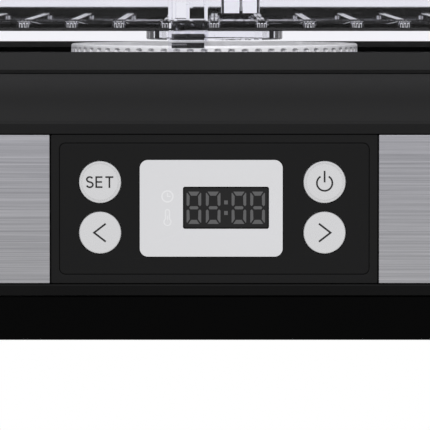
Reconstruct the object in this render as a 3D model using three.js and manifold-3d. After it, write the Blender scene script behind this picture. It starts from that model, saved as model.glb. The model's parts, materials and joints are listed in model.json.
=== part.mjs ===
// A countertop food dehydrator: a black base with a fan, a heater and a digital front panel,
// five clear trays stacked on legs above it, and a clear lid.
//
// Millimetres, +Z up. The origin is the centre of the footprint on the table, the front faces -Y.

import * as THREE from "three";
import { mergeVertices } from "three/addons/utils/BufferGeometryUtils.js";
import Module from "manifold-3d";

const wasm = await Module();
wasm.setup();

// ---------------------------------------------------------------- driving dimensions

const BASE_HALF_X = 165; // the base at its widest, half its width
const BASE_HALF_Y = 130; // and half its depth
const BASE_CORNER = 30; // corner radius of the base in plan
const GAP = 0.3; // between pieces that rest on or sit in each other
const WALL = 2.6; // moulded walls of the base

const FOOT_HEIGHT = 3;
const SKIRT_TOP = 19; // the bottom cover meets the housing here
const BAND_BOTTOM = 23.4; // the steel band and the control panel
const BAND_TOP = 76.5;
const SHOULDER_BOTTOM = 80.8; // the front turns into the rounded shoulder
const HOUSING_TOP = 97.6;
const RIM_TOP = 105.4; // top of the rim that the trays stand on
const RIM_INSET = 9.5; // the rim stands this far inside the base's widest outline
const RIM_WIDTH = 3.5;

const PANEL_HALF_X = 58;
const BUTTON_RADIUS = 7.45;
const BUTTON_TRAVEL = 0.8;

const TRAY_COUNT = 5;
const TRAY_PITCH = 31;
const TRAY_WALL_HEIGHT = 23.5;
const TRAY_HALF_X = 156.5;
const TRAY_HALF_Y = 121.5;
const TRAY_CORNER = 24;
const TRAY_FLOOR = 3.6; // height of the floor's frame and bars
const TRAY_SKIN = 2; // thickness of the tray walls
const LEG_DROP = 7.2; // how far the legs reach below the tray floor
const BAR_PITCH = 17;
const BAR_WIDTH = 2.4;
const TRAY_FRAME = 9; // width of the floor's solid edge

const LID_HEIGHT = 14.5;
const HANDLE_RISE = 17.5;

const FAR = 200; // beyond every piece, for cuts that pass right through

// ---------------------------------------------------------------- materials

function finish(colour, roughness, metalness = 0) {
  return new THREE.MeshStandardMaterial({ color: colour, roughness, metalness });
}

const BLACK_PLASTIC = finish(0x262626, 0.45);
const PANEL_BLACK = finish(0x1c1c1c, 0.35);
const BRUSHED_STEEL = finish(0xa6a5aa, 0.35, 1);
const KEY_GREY = finish(0xd6d6d6, 0.5);
const CAP_WHITE = finish(0xf0eef2, 0.45);
const BARE_STEEL = finish(0xb4b6b8, 0.4, 1);
const BLACK_STEEL = finish(0x141414, 0.5, 0.4);
const RUBBER = finish(0x161616, 0.9);
const BOARD_GREEN = finish(0x1f5a34, 0.6);
const BRONZE = finish(0x9a6f3a, 0.4, 1);
const MICA = finish(0xb9a27a, 0.7);
const NICHROME = finish(0x8a8480, 0.4, 1);
const WIRE_BLACK = finish(0x202020, 0.7);
const CLEAR_PLASTIC = new THREE.MeshStandardMaterial({
  color: 0xe8e7ee,
  roughness: 0.05,
  transparent: true,
  opacity: 0.3,
});

// ---------------------------------------------------------------- solids

const WELD = 1e-4;

function solid(geometry) {
  const bare = geometry.index ? geometry.toNonIndexed() : geometry.clone();
  bare.deleteAttribute("normal");
  bare.deleteAttribute("uv");
  const merged = mergeVertices(bare, WELD);
  const vertProperties = merged.attributes.position.array;
  const triVerts = new Uint32Array(merged.index.array);
  return new wasm.Manifold(new wasm.Mesh({ numProp: 3, vertProperties, triVerts }));
}

function box(x0, x1, y0, y1, z0, z1) {
  const geometry = new THREE.BoxGeometry(x1 - x0, y1 - y0, z1 - z0);
  return solid(geometry.translate((x0 + x1) / 2, (y0 + y1) / 2, (z0 + z1) / 2));
}

// A round bar that stands upright.
function post(radius, x, y, z0, z1, sides = 16) {
  const geometry = new THREE.CylinderGeometry(radius, radius, z1 - z0, sides);
  return solid(geometry.rotateX(Math.PI / 2).translate(x, y, (z0 + z1) / 2));
}

// A round bar that lies from front to back.
function pin(radius, x, z, y0, y1, sides = 16) {
  const geometry = new THREE.CylinderGeometry(radius, radius, y1 - y0, sides);
  return solid(geometry.translate(x, (y0 + y1) / 2, z));
}

// A round bar that lies from left to right.
function crossPin(radius, y, z, x0, x1, sides = 16) {
  const geometry = new THREE.CylinderGeometry(radius, radius, x1 - x0, sides);
  return solid(geometry.rotateZ(Math.PI / 2).translate((x0 + x1) / 2, y, z));
}

// A closed profile of [radius, height] pairs turned about the upright axis.
function turned(profile, sides = 36) {
  const points = profile.map(([radius, height]) => new THREE.Vector2(radius, height));
  return solid(new THREE.LatheGeometry(points, sides).rotateX(Math.PI / 2));
}

function roundedRectangle(halfX, halfY, radius) {
  const shape = new THREE.Shape();
  shape.moveTo(halfX, -halfY + radius);
  shape.absarc(halfX - radius, halfY - radius, radius, 0, Math.PI / 2);
  shape.absarc(-halfX + radius, halfY - radius, radius, Math.PI / 2, Math.PI);
  shape.absarc(-halfX + radius, -halfY + radius, radius, Math.PI, Math.PI * 1.5);
  shape.absarc(halfX - radius, -halfY + radius, radius, Math.PI * 1.5, Math.PI * 2);
  return shape;
}

// A rounded rectangle seen from the front, from y0 back to y1.
function frontPlate(centreX, centreZ, halfX, halfZ, radius, y0, y1) {
  const settings = { depth: y1 - y0, bevelEnabled: false, curveSegments: 3 };
  const geometry = new THREE.ExtrudeGeometry(roundedRectangle(halfX, halfZ, radius), settings);
  return solid(geometry.rotateX(Math.PI / 2).translate(centreX, y1, centreZ));
}

// A solid through a stack of rounded rectangles, each [height, halfX, halfY, radius].
const CORNER_STEPS = 4;

function outline([height, halfX, halfY, radius]) {
  const points = [];
  const corners = [[1, 1], [-1, 1], [-1, -1], [1, -1]];
  corners.forEach(([signX, signY], quarter) => {
    for (let step = 0; step <= CORNER_STEPS; step += 1) {
      const angle = (quarter + step / CORNER_STEPS) * (Math.PI / 2);
      const x = signX * (halfX - radius) + radius * Math.cos(angle);
      const y = signY * (halfY - radius) + radius * Math.sin(angle);
      points.push([x, y, height]);
    }
  });
  return points;
}

function stacked(sections) {
  const rings = sections.map(outline);
  const count = rings[0].length;
  const positions = rings.flat(2);
  const last = rings.length - 1;
  positions.push(0, 0, sections[0][0], 0, 0, sections[last][0]);
  const under = rings.length * count;
  const index = [];
  for (let i = 0; i < count; i += 1) {
    const next = (i + 1) % count;
    index.push(under, next, i);
    index.push(under + 1, last * count + i, last * count + next);
    for (let ring = 0; ring < last; ring += 1) {
      const low = ring * count;
      const high = low + count;
      index.push(low + i, low + next, high + next);
      index.push(low + i, high + next, high + i);
    }
  }
  const geometry = new THREE.BufferGeometry();
  geometry.setAttribute("position", new THREE.Float32BufferAttribute(positions, 3));
  geometry.setIndex(index);
  return solid(geometry);
}

// The base's outline at a height, drawn in by an inset.
function baseSection(height, inset) {
  return [height, BASE_HALF_X - inset, BASE_HALF_Y - inset, BASE_CORNER - inset];
}

function baseBlock(z0, z1, inset) {
  return stacked([baseSection(z0, inset), baseSection(z1, inset)]);
}

// A round wire through points.
function wire(points, radius) {
  const section = new THREE.Shape();
  section.absarc(0, 0, radius, 0, Math.PI * 2);
  const path = new THREE.CatmullRomCurve3(points.map((p) => new THREE.Vector3(...p)));
  const settings = { extrudePath: path, steps: points.length * 2, curveSegments: 3 };
  return solid(new THREE.ExtrudeGeometry(section, settings));
}

function joined(pieces) {
  return pieces.reduce((whole, piece) => whole.add(piece));
}

function cutBy(block, cutters) {
  return cutters.reduce((left, cutter) => left.subtract(cutter), block);
}

// ---------------------------------------------------------------- the object and its meshes

const dehydrator = new THREE.Group();
dehydrator.name = "food_dehydrator";

function add(name, shape, material, group = dehydrator) {
  const made = shape.getMesh();
  const geometry = new THREE.BufferGeometry();
  geometry.setAttribute("position", new THREE.BufferAttribute(made.vertProperties, 3));
  geometry.setIndex(new THREE.BufferAttribute(made.triVerts, 1));
  geometry.computeVertexNormals();
  const mesh = new THREE.Mesh(geometry, material);
  mesh.name = name;
  group.add(mesh);
}

function fourCorners(x, y) {
  return [[-x, -y], [x, -y], [x, y], [-x, y]];
}

// ---------------------------------------------------------------- bottom cover, feet and screws

const COVER_FLOOR = 2.5;
const COVER_INSIDE = FOOT_HEIGHT + COVER_FLOOR;
const COVER_TOP = SKIRT_TOP - GAP;
const INTAKE_RADIUS = 38; // the air intake is a round patch of slots under the fan
const INTAKE_PITCH = 10;
const INTAKE_SLOT = 5;
const SCREW_X = 144;
const SCREW_Y = 72;
const SCREW_SHANK = 1.4;
const SCREW_HEAD = 3.4;
const SCREW_HOLE = SCREW_SHANK + GAP;
const SCREW_SEAT = FOOT_HEIGHT + 1.2; // the housing screws' heads sit in wells under the cover
const BRACKET_REACH = 40; // the motor bracket's posts and screws
const BRACKET_Z = 22;
const BOARD_Z = 14; // underside of the power board
const BOARD_POSTS = [[84, -8], [136, -8], [84, 48], [136, 48]];
const FOOT_RADIUS = 8.5;

function bottomCover() {
  const skirt = stacked([
    baseSection(FOOT_HEIGHT, 8),
    baseSection(FOOT_HEIGHT + 1, 6.4),
    baseSection(FOOT_HEIGHT + 4, 4.4),
    baseSection(COVER_TOP, 0.7),
  ]);
  const inside = stacked([baseSection(COVER_INSIDE, 9), baseSection(COVER_TOP + 1, 3.2)]);
  const slots = [-3, -2, -1, 0, 1, 2, 3].map((row) => {
    const x = row * INTAKE_PITCH;
    const reach = Math.sqrt(INTAKE_RADIUS ** 2 - x ** 2);
    return box(x - INTAKE_SLOT / 2, x + INTAKE_SLOT / 2, -reach, reach, 0, COVER_INSIDE + 1);
  });
  const bracketPosts = fourCorners(BRACKET_REACH, BRACKET_REACH).map(([x, y]) =>
    post(4, x, y, COVER_INSIDE - 0.5, BRACKET_Z - GAP, 10));
  const bracketHoles = fourCorners(BRACKET_REACH, BRACKET_REACH).map(([x, y]) =>
    post(SCREW_HOLE, x, y, 12, BRACKET_Z, 8));
  const boardPosts = BOARD_POSTS.map(([x, y]) => post(3, x, y, COVER_INSIDE - 0.5, BOARD_Z - GAP, 8));
  const screwHoles = fourCorners(SCREW_X, SCREW_Y).map(([x, y]) =>
    post(SCREW_HOLE, x, y, 0, COVER_INSIDE + 1, 8));
  const screwWells = fourCorners(SCREW_X, SCREW_Y).map(([x, y]) =>
    post(SCREW_HEAD + GAP, x, y, 0, SCREW_SEAT, 12));
  const shell = cutBy(skirt, [inside, ...slots, ...screwHoles, ...screwWells]);
  return joined([shell, ...bracketPosts, ...boardPosts]).subtract(joined(bracketHoles));
}

function rubberFoot(x, y) {
  const top = FOOT_HEIGHT - GAP;
  const profile = [[0, 0], [FOOT_RADIUS - 1.5, 0], [FOOT_RADIUS, 1.2], [FOOT_RADIUS, top], [0, top]];
  return turned(profile, 16).translate([x, y, 0]);
}

// A pan-head screw. headZ is the face under its head.
function screw(x, y, headZ, length, headUp) {
  const shank = headUp ? post(SCREW_SHANK, x, y, headZ - length, headZ + 0.5, 8)
    : post(SCREW_SHANK, x, y, headZ - 0.5, headZ + length, 8);
  const cap = headUp ? post(SCREW_HEAD, x, y, headZ, headZ + 2, 12)
    : post(SCREW_HEAD, x, y, headZ - 1.2, headZ, 12);
  return shank.add(cap);
}

add("bottom_cover", bottomCover(), BLACK_PLASTIC);
const CORNER_NAMES = ["front_left", "front_right", "rear_right", "rear_left"];
fourCorners(136, 102).forEach(([x, y], i) => {
  add(`rubber_foot_${CORNER_NAMES[i]}`, rubberFoot(x, y), RUBBER);
});
fourCorners(SCREW_X, SCREW_Y).forEach(([x, y], i) => {
  const shape = screw(x, y, SCREW_SEAT - GAP, 22, false);
  add(`housing_screw_${CORNER_NAMES[i]}`, shape, BARE_STEEL);
});

// ---------------------------------------------------------------- housing

const SHOULDER_TURN = (55 * Math.PI) / 180; // how far round the shoulder bends
const SHOULDER_RADIUS = (HOUSING_TOP - SHOULDER_BOTTOM) / Math.sin(SHOULDER_TURN);
const SHOULDER_STEPS = 5;
const BAND_RECESS = 1.1; // pocket for the steel band
const BAND_END_Y = 112; // the band stops on the rear corners
const BOSS_TOP = 60; // the screw bosses reach up to here
const LOUVRES = { count: 6, firstX: -118, pitch: 11, width: 5, bottom: 34, top: 66 };
const INLET = { x: 98, z: 40, halfX: 14, halfZ: 9, radius: 2.7 };

function shoulder(inset) {
  const sections = [];
  for (let step = 0; step <= SHOULDER_STEPS; step += 1) {
    const angle = (SHOULDER_TURN * step) / SHOULDER_STEPS;
    const drawnIn = SHOULDER_RADIUS * (1 - Math.cos(angle));
    const height = SHOULDER_BOTTOM + SHOULDER_RADIUS * Math.sin(angle);
    sections.push(baseSection(height, inset + drawnIn));
  }
  return sections;
}

function bandRing(inset, thickness, margin) {
  const outer = baseBlock(BAND_BOTTOM - margin, BAND_TOP + margin, inset);
  return outer.subtract(baseBlock(0, RIM_TOP, inset + thickness));
}

function rearLouvres() {
  const { count, firstX, pitch, width, bottom, top } = LOUVRES;
  const cuts = [];
  for (let i = 0; i < count; i += 1) {
    const x = firstX + i * pitch;
    cuts.push(box(x, x + width, BASE_HALF_Y - WALL - 1, BASE_HALF_Y + 1, bottom, top));
  }
  return cuts;
}

function housing() {
  const outer = stacked([baseSection(SKIRT_TOP, 0), ...shoulder(0)]);
  const inner = stacked([
    baseSection(SKIRT_TOP - 1, WALL),
    baseSection(SHOULDER_BOTTOM, WALL),
    ...shoulder(WALL).slice(1, -1),
    baseSection(HOUSING_TOP + 1, SHOULDER_RADIUS * (1 - Math.cos(SHOULDER_TURN)) + WALL),
  ]);
  const frontAndSides = box(-FAR, FAR, -FAR, BAND_END_Y, 0, RIM_TOP);
  const bandPocket = bandRing(-1, 1 + BAND_RECESS, 0.2).intersect(frontAndSides);
  const panelOpening = box(-PANEL_HALF_X - 0.3, PANEL_HALF_X + 0.3,
    -BASE_HALF_Y - 1, -BASE_HALF_Y + WALL + 1, BAND_BOTTOM - 0.2, BAND_TOP + 0.2);
  const inletOpening = frontPlate(INLET.x, INLET.z, INLET.halfX + GAP, INLET.halfZ + GAP,
    INLET.radius + GAP, BASE_HALF_Y - WALL - 1, BASE_HALF_Y + 1);
  const bosses = fourCorners(SCREW_X, SCREW_Y).map(([x, y]) => {
    const wallX = Math.sign(x) * (BASE_HALF_X - 1.5);
    const web = box(Math.min(x, wallX), Math.max(x, wallX), y - 2, y + 2, SKIRT_TOP + 1, BOSS_TOP);
    const boss = post(5, x, y, COVER_INSIDE + GAP, BOSS_TOP, 10).add(web);
    return boss.subtract(post(SCREW_HOLE, x, y, 0, 32, 8));
  });
  const shell = cutBy(outer, [inner, bandPocket, panelOpening, inletOpening, ...rearLouvres()]);
  return joined([shell, ...bosses]);
}

// One half of the band: from the control panel round a front corner and along the side.
function steelBand(side) {
  const sheet = 0.8;
  const ring = bandRing(0, sheet, -0.1);
  const inner = PANEL_HALF_X + 0.5;
  const reach = side > 0 ? box(inner, FAR, -FAR, BAND_END_Y - GAP, 0, RIM_TOP)
    : box(-FAR, -inner, -FAR, BAND_END_Y - GAP, 0, RIM_TOP);
  return ring.intersect(reach);
}

add("housing", housing(), BLACK_PLASTIC);
add("steel_band_left", steelBand(-1), BRUSHED_STEEL);
add("steel_band_right", steelBand(1), BRUSHED_STEEL);

// ---------------------------------------------------------------- deck, vent grille and drip cap

const WELL_HALF_X = 86; // the well that holds the grille
const WELL_HALF_Y = 113;
const GRILLE_TOP = 100.6;
const GRILLE_THICKNESS = 1.5;
const LEDGE = 4; // the grille rests on this much of the well's edge
const SHELF_TOP = 103.1; // the floor inside the rim, either side of the well
const PAN_BOTTOM = 95.4; // the deck drops this far into the housing's opening
const PAN_INSET = 12;

function deck() {
  const rim = stacked([
    baseSection(PAN_BOTTOM, PAN_INSET),
    baseSection(HOUSING_TOP + GAP, PAN_INSET),
    baseSection(HOUSING_TOP + GAP, RIM_INSET + 1.2),
    baseSection(HOUSING_TOP + 1.3, RIM_INSET + 1.2),
    baseSection(HOUSING_TOP + 1.3, RIM_INSET),
    baseSection(RIM_TOP - 0.6, RIM_INSET),
    baseSection(RIM_TOP, RIM_INSET + 0.6),
  ]);
  const pocket = baseBlock(SHELF_TOP, RIM_TOP + 1, RIM_INSET + RIM_WIDTH);
  const grilleSeat = GRILLE_TOP - GRILLE_THICKNESS - GAP;
  const well = box(-WELL_HALF_X, WELL_HALF_X, -WELL_HALF_Y, WELL_HALF_Y, grilleSeat, RIM_TOP + 1);
  const through = box(-WELL_HALF_X + LEDGE, WELL_HALF_X - LEDGE,
    -WELL_HALF_Y + LEDGE, WELL_HALF_Y - LEDGE, 0, RIM_TOP);
  const undersides = [-1, 1].map((side) => {
    const x0 = side > 0 ? WELL_HALF_X + LEDGE : -BASE_HALF_X + 22;
    const x1 = side > 0 ? BASE_HALF_X - 22 : -WELL_HALF_X - LEDGE;
    return box(x0, x1, -96, 96, 0, SHELF_TOP - WALL);
  });
  return cutBy(rim, [pocket, well, through, ...undersides]);
}

const GRILLE_BAR_PITCH = 12;
const GRILLE_SLOT = 8;
const CAP_RADIUS = 54.6;
const CAP_BOSS = 3.7; // the cap's boss passes through the grille to its screw

// A slotted plate. Slots run from front to back and stop short of the drip cap in the middle.
function ventGrille() {
  const plate = box(-WELL_HALF_X + GAP, WELL_HALF_X - GAP, -WELL_HALF_Y + GAP, WELL_HALF_Y - GAP,
    GRILLE_TOP - GRILLE_THICKNESS, GRILLE_TOP);
  const cuts = [post(CAP_BOSS + GAP, 0, 0, 90, RIM_TOP, 12)];
  const end = WELL_HALF_Y - 2 * LEDGE;
  const clearOfCap = CAP_RADIUS + 4;
  for (let i = -6; i <= 6; i += 1) {
    const x = i * GRILLE_BAR_PITCH;
    const start = Math.abs(x) < clearOfCap ? Math.sqrt(clearOfCap ** 2 - x ** 2) : 2;
    [-1, 1].forEach((side) => {
      const y0 = side > 0 ? start : -end;
      const y1 = side > 0 ? end : -start;
      cuts.push(box(x - GRILLE_SLOT / 2, x + GRILLE_SLOT / 2, y0, y1, 90, RIM_TOP));
    });
  }
  return cutBy(plate, cuts);
}

const CAP_BOTTOM = GRILLE_TOP + GAP;
const CAP_BOSS_END = GRILLE_TOP - GRILLE_THICKNESS - GAP;
const CAP_TOP = 106.5;

// The white cap over the fan: a shallow disc with a boss that drops through the grille.
function dripCap() {
  const disc = turned([
    [0, CAP_BOTTOM], [CAP_RADIUS, CAP_BOTTOM], [CAP_RADIUS, CAP_TOP - 0.9],
    [CAP_RADIUS - 1, CAP_TOP - 0.2], [CAP_RADIUS - 3, CAP_TOP], [0, CAP_TOP + 0.3],
  ], 48);
  const boss = post(CAP_BOSS, 0, 0, CAP_BOSS_END, CAP_BOTTOM + 1, 12);
  const screwHole = post(SCREW_HOLE, 0, 0, 90, CAP_TOP - 2, 8);
  return disc.add(boss).subtract(screwHole);
}

// The screw's wide head bears on the grille's underside.
function capScrew() {
  const headTop = CAP_BOSS_END - GAP;
  const head = post(7, 0, 0, headTop - 1.2, headTop, 16);
  return head.add(post(SCREW_SHANK, 0, 0, headTop - 0.7, CAP_TOP - 3, 8));
}

add("deck", deck(), BLACK_PLASTIC);
add("vent_grille", ventGrille(), BLACK_STEEL);
add("drip_cap", dripCap(), CAP_WHITE);
add("cap_screw", capScrew(), BARE_STEEL);

// ---------------------------------------------------------------- front panel

const PANEL_FACE = -BASE_HALF_Y + 0.3;
const PANEL_BACK = PANEL_FACE + 3;
const PANEL_MID_Z = (BAND_BOTTOM + BAND_TOP) / 2;
const OVERLAY_HALF_X = 54.9;
const OVERLAY_HALF_Z = 23.2;
const WINDOW = { x: -1.1, z: 50.05, halfX: 25.4, halfZ: 17.2, radius: 2.9 };
const LED = { x: 4.15, z: 50.25, halfX: 14.85, halfZ: 7.05 };
const BUTTONS = [
  { name: "button_set", x: -40.6, z: 59.4 },
  { name: "button_down", x: -40.6, z: 41.4 },
  { name: "button_power", x: 39.2, z: 59.4 },
  { name: "button_up", x: 39.2, z: 41.4 },
];

function buttonHoles(radius, y0, y1) {
  return BUTTONS.map(({ x, z }) => pin(radius, x, z, y0, y1, 20));
}

function windowHole(margin, y0, y1) {
  const { x, z, halfX, halfZ, radius } = WINDOW;
  return frontPlate(x, z, halfX + margin, halfZ + margin, radius + margin, y0, y1);
}

function ledHole(margin, y0, y1) {
  return box(LED.x - LED.halfX - margin, LED.x + LED.halfX + margin, y0, y1,
    LED.z - LED.halfZ - margin, LED.z + LED.halfZ + margin);
}

function controlPanel() {
  const face = box(-PANEL_HALF_X, PANEL_HALF_X, PANEL_FACE, PANEL_BACK, BAND_BOTTOM, BAND_TOP);
  const flange = box(-PANEL_HALF_X - 3.5, PANEL_HALF_X + 3.5, -BASE_HALF_Y + WALL + GAP, PANEL_BACK + 1.2,
    BAND_BOTTOM - 3, BAND_TOP + 3);
  const hollow = box(-PANEL_HALF_X + 3, PANEL_HALF_X - 3, PANEL_BACK, PANEL_BACK + 5,
    BAND_BOTTOM + 3, BAND_TOP - 3);
  const overlaySeat = frontPlate(0, PANEL_MID_Z, OVERLAY_HALF_X + GAP, OVERLAY_HALF_Z + GAP, 2.3,
    PANEL_FACE - 1, PANEL_FACE + 0.9);
  const windowSeat = windowHole(GAP, PANEL_FACE - 1, PANEL_FACE + 1.5);
  const holes = buttonHoles(BUTTON_RADIUS + GAP, PANEL_FACE - 1, PANEL_BACK + 1);
  return cutBy(face.add(flange), [
    hollow, overlaySeat, windowSeat, ledHole(GAP, PANEL_FACE - 1, PANEL_BACK + 1), ...holes,
  ]);
}

function panelOverlay() {
  const y0 = PANEL_FACE + 0.1;
  const sheet = frontPlate(0, PANEL_MID_Z, OVERLAY_HALF_X, OVERLAY_HALF_Z, 2, y0, y0 + 0.5);
  return cutBy(sheet, [windowHole(GAP, y0 - 1, y0 + 1), ...buttonHoles(BUTTON_RADIUS + GAP, y0 - 1, y0 + 1)]);
}

function displayWindow() {
  const y0 = PANEL_FACE;
  return windowHole(0, y0, y0 + 1.2).subtract(ledHole(0.15 + GAP, y0 - 1, y0 + 2));
}

const BOARD_FRONT = -118;

function ledModule() {
  return ledHole(0, PANEL_FACE + 0.2, BOARD_FRONT - GAP);
}

const BUTTON_FACE = -BASE_HALF_Y;

function button({ x, z }) {
  const cap = pin(BUTTON_RADIUS, x, z, BUTTON_FACE, PANEL_BACK + GAP + 0.4, 20);
  const flange = pin(BUTTON_RADIUS + 1, x, z, PANEL_BACK + GAP, PANEL_BACK + GAP + 1.2, 20);
  const stem = pin(2, x, z, PANEL_BACK + GAP + 1, BOARD_FRONT - 3.4 - BUTTON_TRAVEL - GAP, 10);
  return joined([cap, flange, stem]);
}

// The board behind the panel, with its four push switches soldered on.
function controlBoard() {
  const board = box(-54, 54, BOARD_FRONT, BOARD_FRONT + 1.6, 28, 72);
  const switches = BUTTONS.flatMap(({ x, z }) => [
    box(x - 3, x + 3, BOARD_FRONT - 3, BOARD_FRONT + 0.2, z - 3, z + 3),
    pin(1.7, x, z, BOARD_FRONT - 3.4, BOARD_FRONT - 2.8, 8),
  ]);
  const chip = box(-8, 8, BOARD_FRONT + 1.5, BOARD_FRONT + 3.2, 34, 44);
  const socket = box(30, 46, BOARD_FRONT + 1.5, BOARD_FRONT + 7, 30, 36);
  return joined([board, chip, socket, ...switches]);
}

add("control_panel", controlPanel(), PANEL_BLACK);
add("panel_overlay", panelOverlay(), PANEL_BLACK);
add("display_window", displayWindow(), KEY_GREY);
add("led_display", ledModule(), PANEL_BLACK);
add("control_board", controlBoard(), BOARD_GREEN);
BUTTONS.forEach((spec) => add(spec.name, button(spec), KEY_GREY));

// ---------------------------------------------------------------- fan, motor and heater

const SHAFT_RADIUS = 3;
const MOTOR_BOTTOM = BRACKET_Z + 2 + GAP;
const MOTOR_TOP = MOTOR_BOTTOM + 26;
const MOTOR_RADIUS = 26;
const HUB_BOTTOM = 57;
const HUB_TOP = 69;
const SHROUD_RADIUS = 57;
const SHROUD_BOTTOM = 32;
const HEATER_Z = 78;
const ELEMENT_RADIUS = 3.2; // section of the heater's ring
const DUCT_FLOOR = 86.5; // underside of the duct that spreads the warm air under the grille
const DUCT_HALF_X = 84.7;
const DUCT_HALF_Y = 111.7;
const SHEET = 1.2; // sheet metal of the shroud and the duct
const SENSOR_Z = 82.2;
const SENSOR_RADIUS = 2.2;

function motorBracket() {
  const reach = BRACKET_REACH + 7;
  const plate = box(-reach, reach, -reach, reach, BRACKET_Z, BRACKET_Z + 2);
  const holes = fourCorners(BRACKET_REACH, BRACKET_REACH).map(([x, y]) =>
    post(SCREW_HOLE, x, y, BRACKET_Z - 1, BRACKET_Z + 3, 8));
  const vents = fourCorners(28, 28).map(([x, y]) => post(8, x, y, BRACKET_Z - 1, BRACKET_Z + 3, 10));
  return cutBy(plate, [...holes, ...vents, post(10, 0, 0, BRACKET_Z - 1, BRACKET_Z + 3)]);
}

function fanMotor() {
  const seat = SHAFT_RADIUS + 4 + GAP;
  return turned([
    [seat, MOTOR_BOTTOM], [MOTOR_RADIUS - 6, MOTOR_BOTTOM], [MOTOR_RADIUS, MOTOR_BOTTOM + 4],
    [MOTOR_RADIUS, MOTOR_TOP - 4], [MOTOR_RADIUS - 8, MOTOR_TOP], [seat, MOTOR_TOP],
    [seat, MOTOR_BOTTOM],
  ], 24);
}

function bush(z0) {
  const inside = SHAFT_RADIUS + GAP;
  const outside = SHAFT_RADIUS + 4;
  return turned([[inside, z0], [outside, z0], [outside, z0 + 7], [inside, z0 + 7], [inside, z0]], 16);
}

const BLADES = 7;

// The hub is bored for the shaft. Each blade is a flat plate pitched about its own length.
function fanImpeller() {
  const hub = post(14, 0, 0, HUB_BOTTOM, HUB_TOP, 20);
  const blades = [];
  for (let i = 0; i < BLADES; i += 1) {
    const blade = new THREE.BoxGeometry(38, 24, 1.6);
    blade.rotateX((32 * Math.PI) / 180);
    blade.translate(31, 0, (HUB_BOTTOM + HUB_TOP) / 2);
    blade.rotateZ((i * 2 * Math.PI) / BLADES);
    blades.push(solid(blade));
  }
  return joined([hub, ...blades]).subtract(post(SHAFT_RADIUS + GAP, 0, 0, 0, RIM_TOP));
}

// A sheet-metal tube round the fan and the heater, with a flange that carries the duct.
function fanShroud() {
  const outside = SHROUD_RADIUS + SHEET;
  const top = DUCT_FLOOR - GAP;
  const tube = turned([
    [SHROUD_RADIUS, SHROUD_BOTTOM], [outside, SHROUD_BOTTOM], [outside, top - SHEET],
    [outside + 6, top - SHEET], [outside + 6, top], [SHROUD_RADIUS, top], [SHROUD_RADIUS, SHROUD_BOTTOM],
  ], 32);
  return tube.subtract(crossPin(SENSOR_RADIUS + GAP, 0, SENSOR_Z, SHROUD_RADIUS - 3, outside + 3, 10));
}

// A pan with a round hole in its floor. Its flange meets the deck's underside all round the grille.
function airDuct() {
  const top = PAN_BOTTOM - GAP;
  const walls = box(-DUCT_HALF_X, DUCT_HALF_X, -DUCT_HALF_Y, DUCT_HALF_Y, DUCT_FLOOR, top);
  const lip = 3.5;
  const flange = box(-DUCT_HALF_X - lip, DUCT_HALF_X + lip, -DUCT_HALF_Y - lip, DUCT_HALF_Y + lip,
    top - SHEET, top);
  const inside = box(-DUCT_HALF_X + SHEET, DUCT_HALF_X - SHEET, -DUCT_HALF_Y + SHEET, DUCT_HALF_Y - SHEET,
    DUCT_FLOOR + SHEET, RIM_TOP);
  const throat = post(SHROUD_RADIUS, 0, 0, SHROUD_BOTTOM, RIM_TOP, 32);
  return cutBy(walls.add(flange), [inside, throat]);
}

// A probe that passes through the shroud's wall just over the heater.
function temperatureSensor() {
  return crossPin(SENSOR_RADIUS, 0, SENSOR_Z, SHROUD_RADIUS - 7, SHROUD_RADIUS + 7, 10);
}

// A mica disc with four spokes, and the coiled element ring that lies on it.
function heaterFrame() {
  const outside = SHROUD_RADIUS - GAP;
  const top = HEATER_Z + 1.2;
  const ring = turned([[33, HEATER_Z], [outside, HEATER_Z], [outside, top], [33, top], [33, HEATER_Z]], 32);
  const spokes = box(-40, 40, -3, 3, HEATER_Z, top).add(box(-3, 3, -40, 40, HEATER_Z, top));
  return ring.add(spokes).subtract(post(6, 0, 0, 70, 90, 12));
}

function heaterCoil() {
  const points = [];
  const sides = 6;
  const middle = HEATER_Z + 4.3;
  for (let i = 0; i <= sides; i += 1) {
    const angle = (i / sides) * Math.PI * 2;
    points.push([43 + ELEMENT_RADIUS * Math.cos(angle), middle + ELEMENT_RADIUS * Math.sin(angle)]);
  }
  return turned(points, 24);
}

add("motor_bracket", motorBracket(), BARE_STEEL);
fourCorners(BRACKET_REACH, BRACKET_REACH).forEach(([x, y], i) => {
  const shape = screw(x, y, BRACKET_Z + 2 + GAP, 10, true);
  add(`bracket_screw_${CORNER_NAMES[i]}`, shape, BARE_STEEL);
});
add("fan_motor", fanMotor(), BLACK_STEEL);
add("lower_bush", bush(MOTOR_BOTTOM + 1), BRONZE);
add("upper_bush", bush(MOTOR_TOP - 8), BRONZE);
add("motor_shaft", post(SHAFT_RADIUS, 0, 0, BRACKET_Z + 1, HUB_TOP + 3), BARE_STEEL);
add("fan_impeller", fanImpeller(), BLACK_PLASTIC);
add("fan_shroud", fanShroud(), BARE_STEEL);
add("air_duct", airDuct(), BARE_STEEL);
add("heater_frame", heaterFrame(), MICA);
add("heater_coil", heaterCoil(), NICHROME);
add("thermal_cutoff", crossPin(7, 0, 62, -68, -SHROUD_RADIUS - 1.6, 16), BARE_STEEL);
add("temperature_sensor", temperatureSensor(), BARE_STEEL);

// ---------------------------------------------------------------- power board, mains inlet and wiring

// The board with its transformer, relay and capacitor soldered on.
function powerBoard() {
  const top = BOARD_Z + 1.6;
  const board = box(78, 142, -14, 54, BOARD_Z, top);
  const transformer = box(84, 114, 18, 46, top - 0.2, 38);
  const relay = box(120, 136, -6, 14, top - 0.2, 31);
  const capacitor = post(6, 92, 0, top - 0.2, 34, 16);
  return joined([board, transformer, relay, capacitor]);
}

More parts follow.
